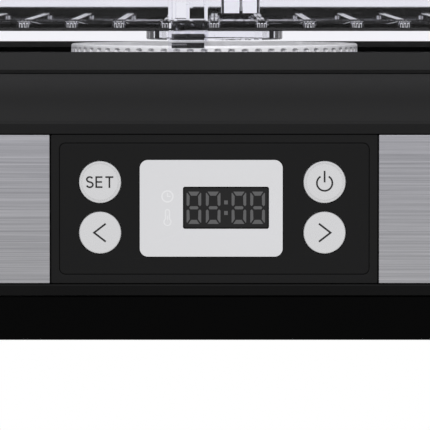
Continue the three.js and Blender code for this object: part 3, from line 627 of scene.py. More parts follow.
def housing():
    crease = 0.3
    outside = [(SKIRT_TOP, 0.5), (SKIRT_TOP + 0.15, 0.15), (SKIRT_TOP + 0.5, 0), (LEDGE - 0.4, 0),
               (SHOULDER_BOTTOM - 0.5, 0), (SHOULDER_BOTTOM - 0.15, 0.08), (SHOULDER_BOTTOM, crease)]
    outside += shoulder_points(crease)[1:-1]
    top_inset = crease + SHOULDER_RADIUS * (1 - math.cos(SHOULDER_TURN))
    outside += [(HOUSING_TOP - 0.25, top_inset - 0.35), (HOUSING_TOP, top_inset + 0.1)]
    inside = [(HOUSING_TOP, top_inset + 1.9), (HOUSING_TOP - 1.6, top_inset + 1.6)]
    inside += [(z - 1.5, inset) for z, inset in shoulder_points(WALL)[-2:0:-1]]
    inside += [(SHOULDER_BOTTOM - 2, WALL), (SKIRT_TOP, WALL)]
    shell = base_loft("housing_shell", outside + inside, looped=True)
    recess = band_sweep("recess", -1, BAND_RECESS, LEDGE, BAND_TOP + 0.2, BAND_END + GAP, slice(None))
    opening = box("opening", -PANEL_HALF_X - 0.3, PANEL_HALF_X + 0.3,
                  -BASE_HALF_Y - 2, -BASE_HALF_Y + WALL + 1, LEDGE, BAND_TOP + 0.2)
    louvres = [capsule(118 - 2.5 - i * LOUVRE_PITCH, 50, 2.5, 16) for i in range(6)]
    slots = [front_plate("louvre", [outline], BASE_HALF_Y - WALL - 1, BASE_HALF_Y + 1)
             for outline in [[(-x, z) for x, z in louvre] for louvre in louvres]]
    inlet = front_plate("inlet", [at(plan(14.3, 9.3, 3, None, 8), INLET_X, INLET_Z)],
                        BASE_HALF_Y - WALL - 1, BASE_HALF_Y + 1)
    carve(shell, recess, opening, heap(slots), inlet)
    soften(shell, 0.2)
    bosses = []
    for x, y in SCREW_SPOTS:
        side = math.copysign(1, x)
        boss = moved(turned("boss", [(1.7, 6.1), (5, 6.1), (5, 60), (1.7, 60)], 24, looped=True), x, y)
        web = [x + side * 4, side * (BASE_HALF_X - 1.5)]
        rib = box("rib", min(web), max(web), y - 1.2, y + 1.2, SKIRT_TOP + 1, 58)
        bosses += [boss, rib]
    return heap([shell] + bosses, "black_housing_shell")


def bottom_cover():
    outside = [(FOOT_TOP, 2.5), (FOOT_TOP + 0.15, 2.2), (FOOT_TOP + 0.5, 2.1), (FOOT_TOP + 9, 1.6),
               (SKIRT_TOP - 0.6, 0.75), (SKIRT_TOP - GAP, 1.1)]
    cover = base_loft("cover", outside)
    hollow = base_loft("hollow", [(FOOT_TOP + 2.5, 9), (SKIRT_TOP + 1, 3.2)])
    slots = []
    for row in range(-3, 4):
        reach = math.sqrt(38 ** 2 - (row * 10) ** 2)
        slots.append(plate("slot", [capsule(row * 10, 0, 2.5, reach)], 0, 9))
    screw_well = [(3.7, 0), (3.7, FOOT_TOP + 1.2), (1.7, FOOT_TOP + 1.2), (1.7, 9)]
    wells = [moved(turned("well", screw_well, 24), x, y) for x, y in SCREW_SPOTS]
    carve(cover, hollow, heap(slots), heap(wells))
    soften(cover, 0.25)
    spots = [(x, y, 4, 21.7) for x, y in ((-40, -40), (40, -40), (40, 40), (-40, 40))]
    spots += [(x, y, 3, 13.7) for x, y in ((84, -8), (136, -8), (84, 48), (136, 48))]
    posts = [moved(turned("post", [(1.7, 5.6), (r, 5.6), (r, top), (1.7, top)], 24, looped=True), x, y)
             for x, y, r, top in spots]
    return heap([cover] + posts, "black_bottom_cover")


def band_half(name, side):
    """One half of the steel band, from beside the control panel to behind the corner."""
    inner_x = PANEL_HALF_X + 0.5
    count = CORNER_STEPS + 2
    rings = band_sweep(None, 0, 0.8, BAND_BOTTOM - 0.1, BAND_TOP - 0.2, BAND_END, slice(0, count))
    last = [(inner_x, y, z) for _, y, z in rings[-1]]
    rings.append(last)
    if side < 0:
        rings = [[(-x, y, z) for x, y, z in ring] for ring in rings]
    return soften(loft(name, rings), 0.25, 3)


# The faces in the band's recess, which get painted shade.
def in_the_recess(spot):
    inside = abs(spot.x) < BASE_HALF_X - 0.5 and abs(spot.y) < BASE_HALF_Y - 0.5
    return inside and LEDGE + 0.1 < spot.z < BAND_TOP + 0.3


shell = finished(housing(), "housing")
# The housing's lip under the band gets painted shade.
second_finish(shell, LIP_PAINTED_SHADE, lambda spot: spot.z < LEDGE - 0.5)
# The band's recess gets painted shade.
second_finish(shell, RECESS_PAINTED_SHADE, in_the_recess)
# The bottom cover's finish is black with painted shade.
finished(bottom_cover(), "bottom_cover", SKIRT_PAINTED_SHADE)
finished(band_half("brushed_band_left", -1), "steel_band_left")
finished(band_half("brushed_band_right", 1), "steel_band_right")


# ---------------------------------------------------------------- deck, grille and cap

WELL_HALF_X, WELL_HALF_Y = 86, 113
GRILLE_TOP = corners("vent_grille")[1].z
SHELF_TOP = 103.1


def deck():
    sections = [(95.4, 12.4), (95.8, 12), (97.9, 12), (97.9, 10.7), (98.9, 10.7),
                (98.9, RIM_INSET + 0.15), (99.1, RIM_INSET), (RIM_TOP - 0.9, RIM_INSET),
                (RIM_TOP - 0.35, RIM_INSET + 0.15), (RIM_TOP - 0.08, RIM_INSET + 0.5),
                (RIM_TOP, RIM_INSET + 0.95)]
    block = base_loft("deck_block", sections)
    rim_inside = RIM_INSET + RIM_WIDTH
    pocket = base_loft("pocket", [(SHELF_TOP, rim_inside), (RIM_TOP - 0.4, rim_inside),
                                  (RIM_TOP + 1, rim_inside - 0.8)])
    seat = GRILLE_TOP - 1.5 - GAP
    well = plate("well", [plan(WELL_HALF_X, WELL_HALF_Y, 3)], seat, RIM_TOP + 1)
    through = plate("through", [plan(WELL_HALF_X - 4, WELL_HALF_Y - 4, 3)], 90, RIM_TOP)
    sides = [moved(plate("side", [plan(26.5, 96, 5)], 90, SHELF_TOP - WALL), side * 116.5)
             for side in (-1, 1)]
    carve(block, pocket, well, through, heap(sides))
    return soften(block, 0.2)


def vent_grille():
    half_x, half_y = WELL_HALF_X - GAP, WELL_HALF_Y - GAP
    outlines = [plan(half_x, half_y, 2.6), circle(0, 0, 4)]
    end = WELL_HALF_Y - 8
    for i in range(-6, 7):
        x = 12 * i
        start = math.sqrt(58.6 ** 2 - x ** 2) if abs(x) < 58.6 else 2
        for side in (-1, 1):
            outlines.append(capsule(x, side * (start + end) / 2, 4, (end - start) / 2))
    return soften(plate("grille", outlines, GRILLE_TOP - 1.5, GRILLE_TOP), 0.3)


CAP_FLUTES = 67
CAP_LOW, CAP_HIGH = corners("drip_cap")


def fluted_cap():
    """A shallow disc whose side is moulded with arched flutes, over a boss that passes the grille."""
    radius = CAP_HIGH.x
    steps_per_flute = 12
    count = CAP_FLUTES * steps_per_flute
    bottom = GRILLE_TOP + GAP
    crown = CAP_HIGH.z - 0.3
    flute_top = crown - 1.1
    flute_depth = 1.5

    def ring(z, inset, fluted=True):
        points = []
        for i in range(count):
            across = abs((i % steps_per_flute) / steps_per_flute - 0.5) * 2
            arch = flute_top - 0.9 * max(0.0, across / 0.46) ** 2.5
            dip = 0.0
            if fluted and across < 0.5 and z < arch:
                dip = flute_depth * min(1.0, (arch - z) / 0.25) * min(1.0, (0.5 - across) / 0.1)
            angle = 2 * math.pi * i / count
            r = radius - inset - dip
            points.append((r * math.cos(angle), r * math.sin(angle), z))
        return points

    rings = [ring(bottom, 0.3, False), ring(bottom + 0.3, 0.1, False)]
    rows = 18
    for row in range(rows):
        rings.append(ring(bottom + 0.5 + (flute_top - bottom - 0.5) * row / (rows - 1), 0))
    for step in range(1, 7):
        angle = step / 6 * math.pi / 2
        edge = 0.7
        rings.append(ring(crown - edge + edge * math.sin(angle), edge * (1 - math.cos(angle)), False))
    for share in (0.06, 0.3, 0.6, 0.85, 0.98):
        rings.append(ring(crown + 0.3 * share, radius * share, False))
    disc = loft("disc", rings)
    boss = turned("boss", [(3.7, CAP_LOW.z), (3.7, bottom + 0.6)], 32)
    hole = turned("hole", [(1.7, 90), (1.7, CAP_HIGH.z - 2)], 24)
    return carve(unite(disc, boss), hole)


# The faces in the deck's well, which get painted shade.
def in_the_well(spot):
    inside_x = abs(spot.x) < BASE_HALF_X - RIM_INSET - RIM_WIDTH - 0.5
    inside_y = abs(spot.y) < BASE_HALF_Y - RIM_INSET - RIM_WIDTH - 0.5
    return inside_x and inside_y and spot.z < SHELF_TOP + 0.3


# The deck's rim is painted paler as if lit, and its well gets painted shade.
second_finish(finished(deck(), "deck", RIM_PAINTED_LIGHT), RECESS_PAINTED_SHADE, in_the_well)
finished(vent_grille(), "vent_grille")
cap = finished(fluted_cap(), "drip_cap", smooth=28)


# ---------------------------------------------------------------- front panel

FACE = corners("control_panel")[0].y
WINDOW_LOW, WINDOW_HIGH = corners("display_window")
LED_LOW, LED_HIGH = corners("led_display")
KEYS = ("button_set", "button_down", "button_power", "button_up")


def middle(node):
    low, high = corners(node)
    return (low.x + high.x) / 2, (low.z + high.z) / 2


def rectangle(low, high, radius, margin=0.0):
    """A rounded outline, seen from the front, between two corners."""
    half_x, half_z = (high.x - low.x) / 2 + margin, (high.z - low.z) / 2 + margin
    return at(plan(half_x, half_z, radius + margin), (low.x + high.x) / 2, (low.z + high.z) / 2)


def key_holes(radius):
    return [circle(*middle(key), radius, 64) for key in KEYS]


def control_panel():
    low = Vector((-PANEL_HALF_X, 0, BAND_BOTTOM - 0.05))
    high = Vector((PANEL_HALF_X, 0, BAND_TOP - 0.2))
    body = front_plate("panel_body", [rectangle(low, high, 0.5), *key_holes(7.75),
                                      rectangle(LED_LOW, LED_HIGH, 0.3, GAP)], FACE, FACE + 3)
    seat = front_plate("seat", [rectangle(PANEL_LOW, PANEL_HIGH, 2, GAP)], FACE - 1, FACE + 0.9)
    pane = front_plate("pane", [rectangle(WINDOW_LOW, WINDOW_HIGH, 2.9, GAP)], FACE - 1, FACE + 1.5)
    carve(body, seat, pane)
    soften(body, 0.18)
    edge = Vector((3.5, 0, 3))
    inner = Vector((3, 0, 3))
    frame_outlines = [rectangle(low - edge, high + edge, 1), rectangle(low + inner, high - inner, 1)]
    flange = front_plate("flange", frame_outlines, FACE + 3.05, FACE + 4.2)
    return heap([body, soften(flange, 0.2)], "control_panel_moulding")


def overlay():
    outlines = [rectangle(PANEL_LOW, PANEL_HIGH, 2), rectangle(WINDOW_LOW, WINDOW_HIGH, 2.9, GAP),
                *key_holes(7.75)]
    return soften(front_plate("panel_film_sheet", outlines, FACE + 0.1, FACE + 0.6), 0.12)


def window():
    outlines = [rectangle(WINDOW_LOW, WINDOW_HIGH, 2.9), rectangle(LED_LOW, LED_HIGH, 0.3, 0.45)]
    return soften(front_plate("window_plate", outlines, FACE, FACE + 1.2), 0.28, 3)


SEGMENTS = {
    "top": [(-2.0, 5.75), (2.0, 5.75), (1.0, 4.3), (-1.0, 4.3)],
    "upper_left": [(-2.35, 5.35), (-1.5, 4.1), (-1.6, 1.1), (-2.1, 0.55), (-2.6, 1.0), (-2.6, 5.2)],
    "middle": [(-1.65, 0), (-1.25, 0.55), (1.25, 0.55), (1.65, 0), (1.25, -0.55), (-1.25, -0.55)],
}
DIGIT_SPOTS = (-11.4, -4.55, 4.6, 11.25)


def digit_outlines(x, z):
    """The seven segments of one digit."""
    top, side, mid = SEGMENTS["top"], SEGMENTS["upper_left"], SEGMENTS["middle"]
    shapes = [top, mid, [(px, -pz) for px, pz in top]]
    for flip_x in (1, -1):
        for flip_z in (1, -1):
            shapes.append([(flip_x * px, flip_z * pz) for px, pz in side])
    return [at(shape, x, z) for shape in shapes]


def led_module():
    body = front_plate("led_body", [rectangle(LED_LOW, LED_HIGH, 0.3)], LED_LOW.y, LED_HIGH.y)
    return soften(body, 0.15)


def led_segments():
    x, z = middle("led_display")
    outlines = [o for spot in DIGIT_SPOTS for o in digit_outlines(x + spot, z)]
    for height in (1.9, -1.85):
        outlines.append(at([(-0.65, -0.7), (0.65, -0.7), (0.65, 0.7), (-0.65, 0.7)], x, z + height))
    face = LED_LOW.y
    return front_plate("unlit_segments", outlines, face - 0.04, face + 0.02)


def key(name, node, ringed):
    """A round key with a softly rounded edge. Two of the keys have a fine line near the edge."""
    x, z = middle(node)
    low, high = corners(node)
    radius = 7.45
    face = -low.y - 0.05
    back = -high.y
    flange_back, flange_front = 125.2, 126.4
    rim = [(radius, flange_front + 0.1), (radius, face - 0.5), (radius - 0.12, face - 0.2),
           (radius - 0.35, face - 0.04), (radius - 0.6, face)]
    line = [(6.85, face), (6.8, face - 0.2), (6.4, face - 0.2), (6.35, face)] if ringed else []
    centre = [(4, face), (0.4, face)]
    profile = [(0.4, back), (1.6, back), (2, back + 0.4), (2, flange_back), (8.3, flange_back),
               (8.45, flange_back + 0.2), (8.45, flange_front - 0.2), (8.3, flange_front)]
    cap = to_front(turned(name, profile + rim + line + centre, 96))
    return moved(cap, x, 0, z)


def ribbon(points, width):
    """The outline of a stroke of even width along some points."""
    left, right = [], []
    last = len(points) - 1
    for i, (x, y) in enumerate(points):
        before, after = points[max(i - 1, 0)], points[min(i + 1, last)]
        come = Vector((x - before[0], y - before[1])).normalized() if i else None
        go = Vector((after[0] - x, after[1] - y)).normalized() if i < last else None
        way = ((come or go) + (go or come)).normalized()
        turn = way.dot(go or come)
        reach = width / 2 / max(turn, 0.35)
        left.append((x - way.y * reach, y + way.x * reach))
        right.append((x + way.y * reach, y - way.x * reach))
    return left + right[::-1]


def arc(x, y, radius_x, radius_y, start, stop, steps=14):
    turns = [math.radians(start + (stop - start) * i / steps) for i in range(steps + 1)]
    return [(x + radius_x * math.cos(a), y + radius_y * math.sin(a)) for a in turns]


def letter_outlines():
    """The word on the first key, drawn as plain strokes."""
    stroke = 0.55
    curl = arc(0, 0.95, 1.05, 0.88, 25, 265)[:-1] + arc(0, -0.93, 1.12, 0.92, 85, -160)
    shapes = [ribbon([(x - 3.65, y) for x, y in curl], stroke)]
    e_left, e_right = -1.35, 0.85
    shapes.append(ribbon([(e_right, 1.78), (e_left, 1.78), (e_left, -1.78), (e_right, -1.78)], stroke))
    shapes.append(ribbon([(e_left + 0.28, 0.05), (e_right - 0.15, 0.05)], stroke * 0.95))
    shapes.append(ribbon([(1.9, 1.78), (4.75, 1.78)], stroke))
    shapes.append(ribbon([(3.33, 1.5), (3.33, -2.05)], stroke))
    return shapes


def arrow_outlines(side):
    return [ribbon([(side * -2.0, 3.2), (side * 2.15, 0), (side * -2.0, -3.2)], 0.62)]


def power_outlines():
    return [ribbon(arc(0, -0.35, 2.75, 2.75, 122, 418, 36), 0.58), ribbon([(0, 4.0), (0, -0.1)], 0.58)]


def key_mark(name, node, outlines):
    x, z = middle(node)
    face = corners(node)[0].y
    mark = front_plate(name, [at(o, x, z) for o in outlines], face, face + 0.1)
    return finished(mark, node, DARK_INK, stands_for=False)


def ring_outline(x, y, outer, inner, steps=40):
    """A closed band that is open by a hair, so that it is one outline."""
    hair = 0.5
    outside = arc(x, y, outer, outer, hair, 360 - hair, steps)
    return outside + arc(x, y, inner, inner, 360 - hair, hair, steps)


def window_marks():
    """A clock over a thermometer, in white."""
    window_x, _ = middle("display_window")
    led_z = middle("led_display")[1]
    x = window_x - 15.55
    clock_z, bulb_z = led_z + 4.05, led_z - 5.05
    shapes = [ring_outline(x, clock_z, 2.2, 1.72)]
    shapes.append(ribbon([(x, clock_z + 1.25), (x, clock_z), (x + 1.15, clock_z)], 0.36))
    stem = 3.7
    tube = arc(x, bulb_z + stem, 0.72, 0.72, 0, 180, 10)
    bulb = arc(x, bulb_z, 1.25, 1.25, 125, 415, 24)
    shapes.append(ribbon(tube + bulb + [tube[0]], 0.38))
    shapes.append(circle(x, bulb_z, 0.72, 20))
    shapes.append(ribbon([(x, bulb_z + 0.5), (x, bulb_z + 2.2)], 0.36))
    face = WINDOW_LOW.y
    mark = front_plate("window_marks", shapes, face - 0.03, face + 0.1)
    return finished(mark, "display_window", WHITE_INK, stands_for=False)


finished(control_panel(), "control_panel")
finished(overlay(), "panel_overlay")
finished(window(), "display_window")
finished(led_module(), "led_display")
finished(led_segments(), "led_display", SEGMENT_GREY, stands_for=False)
window_marks()
for node in KEYS:
    finished(key("round_key_" + node.split("_")[1], node, node in ("button_set", "button_power")), node)
key_mark("key_word", "button_set", letter_outlines())
key_mark("key_arrow_down", "button_down", arrow_outlines(-1))
key_mark("key_arrow_up", "button_up", arrow_outlines(1))
key_mark("key_power_sign", "button_power", power_outlines())


# ---------------------------------------------------------------- trays

TRAY_LOW, TRAY_HIGH = corners("tray_1")
FLARE = 1.0
TRAY_HALF_X, TRAY_HALF_Y = TRAY_HIGH.x - FLARE, TRAY_HIGH.y - FLARE
TRAY_CORNER = 24
TRAY_TALL = 23.5
TRAY_FLOOR = 3.6
LEAN = 0.0417
LEG_DROP, TAB_DROP = 7.2, 1.6
BAR_PITCH, BAR_WIDTH = 17, 2.4
BEAD = 0.95
FRAME_WIDTH = 9
FOOT_NOTCHES = (-1.2, 0, 1.2)
LEG_X, SIDE_LEG_Y = -9.4, 40
LEG_WIDTH = 14.1
ON_WALL_INSET = 0.6
TRAY_PITCH = corners("tray_2")[0].z - TRAY_LOW.z
# Clear pieces are smooth only round their corners, so that their flat walls don't bend what is seen
# through them.
FLAT_TURN = 8


def tray_ring(z, inset):
    return plan(TRAY_HALF_X - inset, TRAY_HALF_Y - inset, TRAY_CORNER - inset, z, guard=0.6)


def wall_inside(z):
    """How far in the wall's inner face is at a height. Both faces lean out alike."""
    return 2.0 - LEAN * (z - TRAY_FLOOR - 0.6)


def tray_wall():
    skin = 2.0
    top = TRAY_TALL
    outer = 0.05
    lean = LEAN * (top - 3.1)
    sections = [(0.05, 0.35), (0.3, outer), (top - 2.6, outer - lean), (top - 2.2, -1), (top - 0.5, -1),
                (top - 0.12, -0.88), (top, -0.55), (top, skin - 1.2), (top - 0.15, skin - 0.88),
                (top - 0.6, wall_inside(top - 0.6)), (TRAY_FLOOR + 0.6, skin),
                (TRAY_FLOOR - 1, skin + 0.6), (1.25, skin + 0.6), (1.25, 1.5)]
    return loft("tray_wall", [tray_ring(z, inset) for z, inset in sections], looped=True)


def tray_floor():
    outlines = [plan(TRAY_HALF_X - 2.1, TRAY_HALF_Y - 2.1, TRAY_CORNER - 2.1)]
    reach = TRAY_HALF_Y - FRAME_WIDTH
    for i in range(-9, 9):
        x0 = i * BAR_PITCH + BAR_WIDTH / 2
        x1 = min((i + 1) * BAR_PITCH - BAR_WIDTH / 2, TRAY_HALF_X - FRAME_WIDTH)
        x0 = max(x0, -TRAY_HALF_X + FRAME_WIDTH)
        corner_cut = 6 if i in (-9, 8) else 0
        half = reach - corner_cut
        outlines.append(at(plan((x1 - x0) / 2, half, 1.2, None, 4), (x0 + x1) / 2, 0))
    return plate("tray_floor", outlines, 0, TRAY_FLOOR)


def tray_pockets():
    """Hollows under the floor's frame, between the feet of the bars."""
    hollows = []
    half = 6.1
    for side in (-1, 1):
        y0, y1 = sorted((side * (TRAY_HALF_Y - 2.6), side * (TRAY_HALF_Y - 7)))
        x0, x1 = sorted((side * (TRAY_HALF_X - 2.6), side * (TRAY_HALF_X - 7)))
        for i in range(-8, 9):
            at_x = i * BAR_PITCH
            hollows += [box("notch", at_x + n - 0.25, at_x + n + 0.25, y0, y1, 0.9, 2.9)
                        for n in FOOT_NOTCHES]
            if i < 8:
                middle_x = at_x + BAR_PITCH / 2
                hollows.append(box("hollow", middle_x - half, middle_x + half, y0, y1, -1, 2.8))
        for i in range(-6, 6):
            middle_y = (i + 0.5) * BAR_PITCH
            hollows.append(box("hollow", x0, x1, middle_y - half, middle_y + half, -1, 2.8))
    return heap(hollows)


def tray_leg():
    """A leg on the front wall: a column with windows in its back, and a tab that locates it."""
    half = LEG_WIDTH / 2
    column = box("leg", -half, half, 0, 4, -LEG_DROP, TRAY_TALL)
    windows = []
    for z0, z1 in ((-6.2, -4.2), (-3.2, -1.0)):
        slope = 1 + 1.15 * (z1 - z0)
        side = [(1, z0), (5, z0), (5, z1), (slope, z1)]
        windows.append(loft("window", [[(x, y, z) for y, z in side] for x in (-half + 1.2, half - 1.2)]))
    for z0, z1 in ((4.4, 12.4), (13.4, 22.2)):
        side = [(wall_inside(z0) - ON_WALL_INSET, z0), (5, z0), (5, z1),
                (wall_inside(z1) - ON_WALL_INSET, z1)]
        for x0, x1 in ((-half + 1.2, -0.6), (0.6, half - 1.2)):
            windows.append(loft("window", [[(x, y, z) for y, z in side] for x in (x0, x1)]))
    carve(column, heap(windows))
    cheeks = []
    for x0, x1 in ((-half, -half + 1.6), (half - 1.6, half)):
        cheeks.append(box("cheek", x0, x1, 3.9, 6.5, -LEG_DROP + 0.9, TRAY_TALL - TAB_DROP - 0.6))
        cheeks.append(box("tab", x0, x1, 4.3, 6.5, -LEG_DROP - TAB_DROP, -LEG_DROP + 1.2))
    return unite(column, *cheeks)


GUIDE_FOOT = 6.4


def on_wall(outline, z0):
    """An upright piece against the front wall's inner face, from a height to just under the rim."""
    rings = []
    for z in (z0, TRAY_TALL - 0.8):
        face = wall_inside(z) - ON_WALL_INSET
        rings.append([(x, face + depth, z) for x, depth in outline])
    return loft("upright", rings)


def tray_guide():
    """Ridges on the front wall that guide the leg of a turned tray."""
    half = LEG_WIDTH / 2
    wide, deep, gap = 0.5, 0.68, 0.03
    spots = ((-half + 0.55, GUIDE_FOOT), (half - 0.75, GUIDE_FOOT), (0.1, GUIDE_FOOT + 0.8))
    return heap([on_wall([(x - wide, gap), (x + wide, gap), (x, deep)], z0) for x, z0 in spots])


def guide_pads():
    """Pads between the ridges, for a painted highlight."""
    half = LEG_WIDTH / 2
    return heap([on_wall([(x0, 0.05), (x1, 0.05), (x1, 0.6), (x0, 0.6)], GUIDE_FOOT)
                 for x0, x1 in ((-half + 1.1, -0.5), (0.7, half - 1.3))])


def bar_beads():
    """A fine bead along both top edges of every bar, for a painted highlight."""
    beads = []
    for i in range(-8, 9):
        reach = TRAY_HALF_Y - (FRAME_WIDTH + 7 if abs(i) == 8 else FRAME_WIDTH)
        start = 24.5 if abs(i) < 2 else 0
        for edge in (-1, 1):
            x = i * BAR_PITCH + edge * (BAR_WIDTH / 2 - BEAD / 2)
            for side in ((-1, 1) if start else (0,)):
                y0, y1 = sorted((side * start, side * reach)) if side else (-reach, reach)
                beads.append(box("bead", x - BEAD / 2, x + BEAD / 2, y0, y1,
                                 TRAY_FLOOR + 0.02, TRAY_FLOOR + 0.2))
    return beads


def foot_ribs():
    """Three ribs in the foot of every bar, for a painted highlight."""
    ribs = []
    for side in (-1, 1):
        y0, y1 = sorted((side * (TRAY_HALF_Y - 2.7), side * (TRAY_HALF_Y - 3.4)))
        for i in range(-8, 9):
            ribs += [box("rib", i * BAR_PITCH + n - 0.4, i * BAR_PITCH + n + 0.4, y0, y1, 0.95, 2.85)
                     for n in FOOT_NOTCHES]
    return ribs


def on_walls(thing, front_x, side_y):
    """Copies of a piece made for the front wall, on all four walls."""
    in_x, in_y = TRAY_HALF_X - ON_WALL_INSET, TRAY_HALF_Y - ON_WALL_INSET
    spots = ((0, front_x, -in_y), (180, front_x, in_y), (90, in_x, side_y), (-90, -in_x, side_y))
    copies = []
    for degrees, x, y in spots:
        copies.append(moved(spun(copy_of(thing, thing.name), degrees), x, y))
    bpy.data.objects.remove(thing)
    return copies


def collar():
    """The faceted ring that hangs under the middle of the tray."""
    low = -4.8
    profile = [(22, low), (25.6, low), (26, low + 0.4), (26, TRAY_FLOOR), (22, TRAY_FLOOR)]
    return turned("collar", profile, 36, looped=True)


def tray():
    wall = tray_wall()
    floor = carve(tray_floor(), tray_pockets(), turned("core", [(24, -2), (24, 6)], 36))
    whole = unite(wall, floor, collar())
    unite(whole, heap(on_walls(tray_leg(), LEG_X, SIDE_LEG_Y)))
    # The marked rounded edges are for a painted highlight.
    soften(whole, 0.22, 2, 50, mark=True)
    return heap([whole, *on_walls(tray_guide(), -LEG_X, -SIDE_LEG_Y)])


def trays():
    first = tray()
    pads = heap([*on_walls(guide_pads(), -LEG_X, -SIDE_LEG_Y), *bar_beads(), *foot_ribs()])
    floor_z = TRAY_LOW.z + LEG_DROP + TAB_DROP
    for number in range(1, 6):
        height = floor_z + (number - 1) * TRAY_PITCH
        one = moved(copy_of(first, f"clear_tray_{number}"), 0, 0, height)
        # The rounded edges that soften() marked, and the pads, beads and ribs, get a pale finish with a
        # painted highlight that glows a little.
        finished(one, f"tray_{number}", smooth=FLAT_TURN, edges=EDGE_HIGHLIGHT_GLOW)
        pad = moved(copy_of(pads, f"clear_pads_{number}"), 0, 0, height)
        finished(pad, f"tray_{number}", EDGE_HIGHLIGHT_GLOW, stands_for=False)
    bpy.data.objects.remove(first)
    bpy.data.objects.remove(pads)


trays()


# ---------------------------------------------------------------- lid

LID_LOW, LID_HIGH = corners("lid")
LID_CORNER = 27.7
LID_CROWN = LID_HIGH.z - 17.5
LID_REST = LID_LOW.z + 4.2


def lid_loft(name, sections):
    return loft(name, [plan(LID_HIGH.x - inset, LID_HIGH.y - inset, LID_CORNER - inset, z, guard=0.6)
                       for z, inset in sections])


def lid():
    block = lid_loft("lid_block", [
        (LID_LOW.z, 0.25), (LID_LOW.z + 0.25, 0), (LID_CROWN - 3.4, 0), (LID_CROWN - 2.2, 0.25),
        (LID_CROWN - 1.2, 0.95), (LID_CROWN - 0.5, 1.9), (LID_CROWN - 0.1, 3), (LID_CROWN, 4.2)])
    skirt = lid_loft("skirt", [(LID_LOW.z - 1, 2), (LID_REST, 2)])
    hollow = lid_loft("hollow", [(LID_REST - 1, 7), (LID_CROWN - 3.2, 7), (LID_CROWN - 2.4, 8)])
    vents = [plate("vent", [capsule(side * 100 + i * 11, 0, 2, 42)], LID_CROWN - 6, LID_CROWN + 1)
             for i in range(-3, 4) for side in (-1, 1)]
    carve(block, skirt, hollow, heap(vents))
    handle = loft("handle", [plan(50, 10, 6, LID_CROWN - 1), plan(49.2, 9.6, 6, LID_CROWN + 1.5),
                             plan(46.4, 9.1, 6, LID_HIGH.z - 2.4), plan(45.8, 8.6, 6, LID_HIGH.z - 1),
                             plan(44.4, 7.4, 5.5, LID_HIGH.z - 0.2), plan(43, 6, 5, LID_HIGH.z)])
    gap = to_front(plate("gap", [at(plan(37, 6.1, 4), 0, LID_CROWN + 6.35)], -20, 20))
    carve(handle, gap)
    unite(block, handle)
    block.name = "clear_lid"
    return soften(block, 0.3)


finished(lid(), "lid", smooth=FLAT_TURN)


# ---------------------------------------------------------------- feet and screws

def foot(node):
    low, high = corners(node)
    name = node.replace("rubber_", "grip_")
    profile = [(0.6, 0), (6.2, 0), (6.9, 0.15), (7.6, 0.8), (8.3, 1.3), (8.5, 1.7), (8.5, high.z),
               (0.6, high.z)]
    return moved(turned(name, profile, 48), (low.x + high.x) / 2, (low.y + high.y) / 2)


def screw(node, head_up):
    """A pan-head screw with a cross recess. It is made head up, and turned over if need be."""
    low, high = corners(node)
    length = high.z - low.z
    head = 1.8
    profile = [(0.3, 0), (0.9, 0.2), (1.35, 1.2)]
    turns = int((length - head - 2) / 0.9)
    for i in range(turns):
        z = 1.4 + i * 0.9
        profile += [(1.4, z), (1.05, z + 0.45)]
    profile += [(1.3, length - head), (3.35, length - head), (3.4, length - head + 0.3),
                (3.1, length - 0.5), (2.2, length - 0.1), (0.5, length)]
    made_screw = turned(node.replace("screw", "pan_screw"), profile, 24)
    blades = [box("blade", -1.9, 1.9, -0.35, 0.35, length - 1.1, length + 1),
              box("blade", -0.35, 0.35, -1.9, 1.9, length - 1.1, length + 1)]
    carve(made_screw, *blades)
    if not head_up:
        made_screw.data.transform(Matrix.Rotation(math.pi, 4, "X"))
        moved(made_screw, 0, 0, length)
    return moved(made_screw, (low.x + high.x) / 2, (low.y + high.y) / 2, low.z)


for corner in ("front_left", "front_right", "rear_right", "rear_left"):
    finished(foot(f"rubber_foot_{corner}"), f"rubber_foot_{corner}")
    finished(screw(f"housing_screw_{corner}", False), f"housing_screw_{corner}")
    finished(screw(f"bracket_screw_{corner}", True), f"bracket_screw_{corner}")


# ---------------------------------------------------------------- pieces kept as the CAD made them

for node, thing in NODES.items():
    if not thing.hide_render:
        thing.data.materials.clear()
        thing.data.materials.append(FINISHES[SLOT_OF[node]])


# ---------------------------------------------------------------- floor, light and camera

TABLE_HALF = 5000
TABLE_GLOW = 0.82
ROOM_GLOW = 0.68
EDGE_GLOW = 0.03
CARD_BOTTOM, CARD_TOP = 109.3, 119.1


def seen_as(tree, straight, bounced, inside):
    """A strength with three values: seen straight or through clear plastic, seen by light that bounces
    off a surface, and seen by light that is turned back inside clear plastic. The last darkens the
    plastic's edges."""
    path = tree.nodes.new("ShaderNodeLightPath")
    camera_ray = Wire(path.outputs["Is Camera Ray"])
    through = Wire(path.outputs["Is Transmission Ray"])
    turned_back = Wire(path.outputs["Glossy Depth"]).over(0.4, 0.6) * through
    direct = camera_ray.sum("MAXIMUM", camera_ray, through - turned_back)
    return bounced + (straight - bounced) * direct + (inside - bounced) * turned_back


def glow(tree, output, strength, colour):
    """Feeds an even light of some strength and colour to a tree's output."""
    kind = "ShaderNodeBackground" if output.type == "OUTPUT_WORLD" else "ShaderNodeEmission"
    light = tree.nodes.new(kind)
    light.inputs["Color"].default_value = shade(colour)
    tree.links.new(strength.socket, light.inputs["Strength"])
    tree.links.new(light.outputs[0], output.inputs["Surface"])


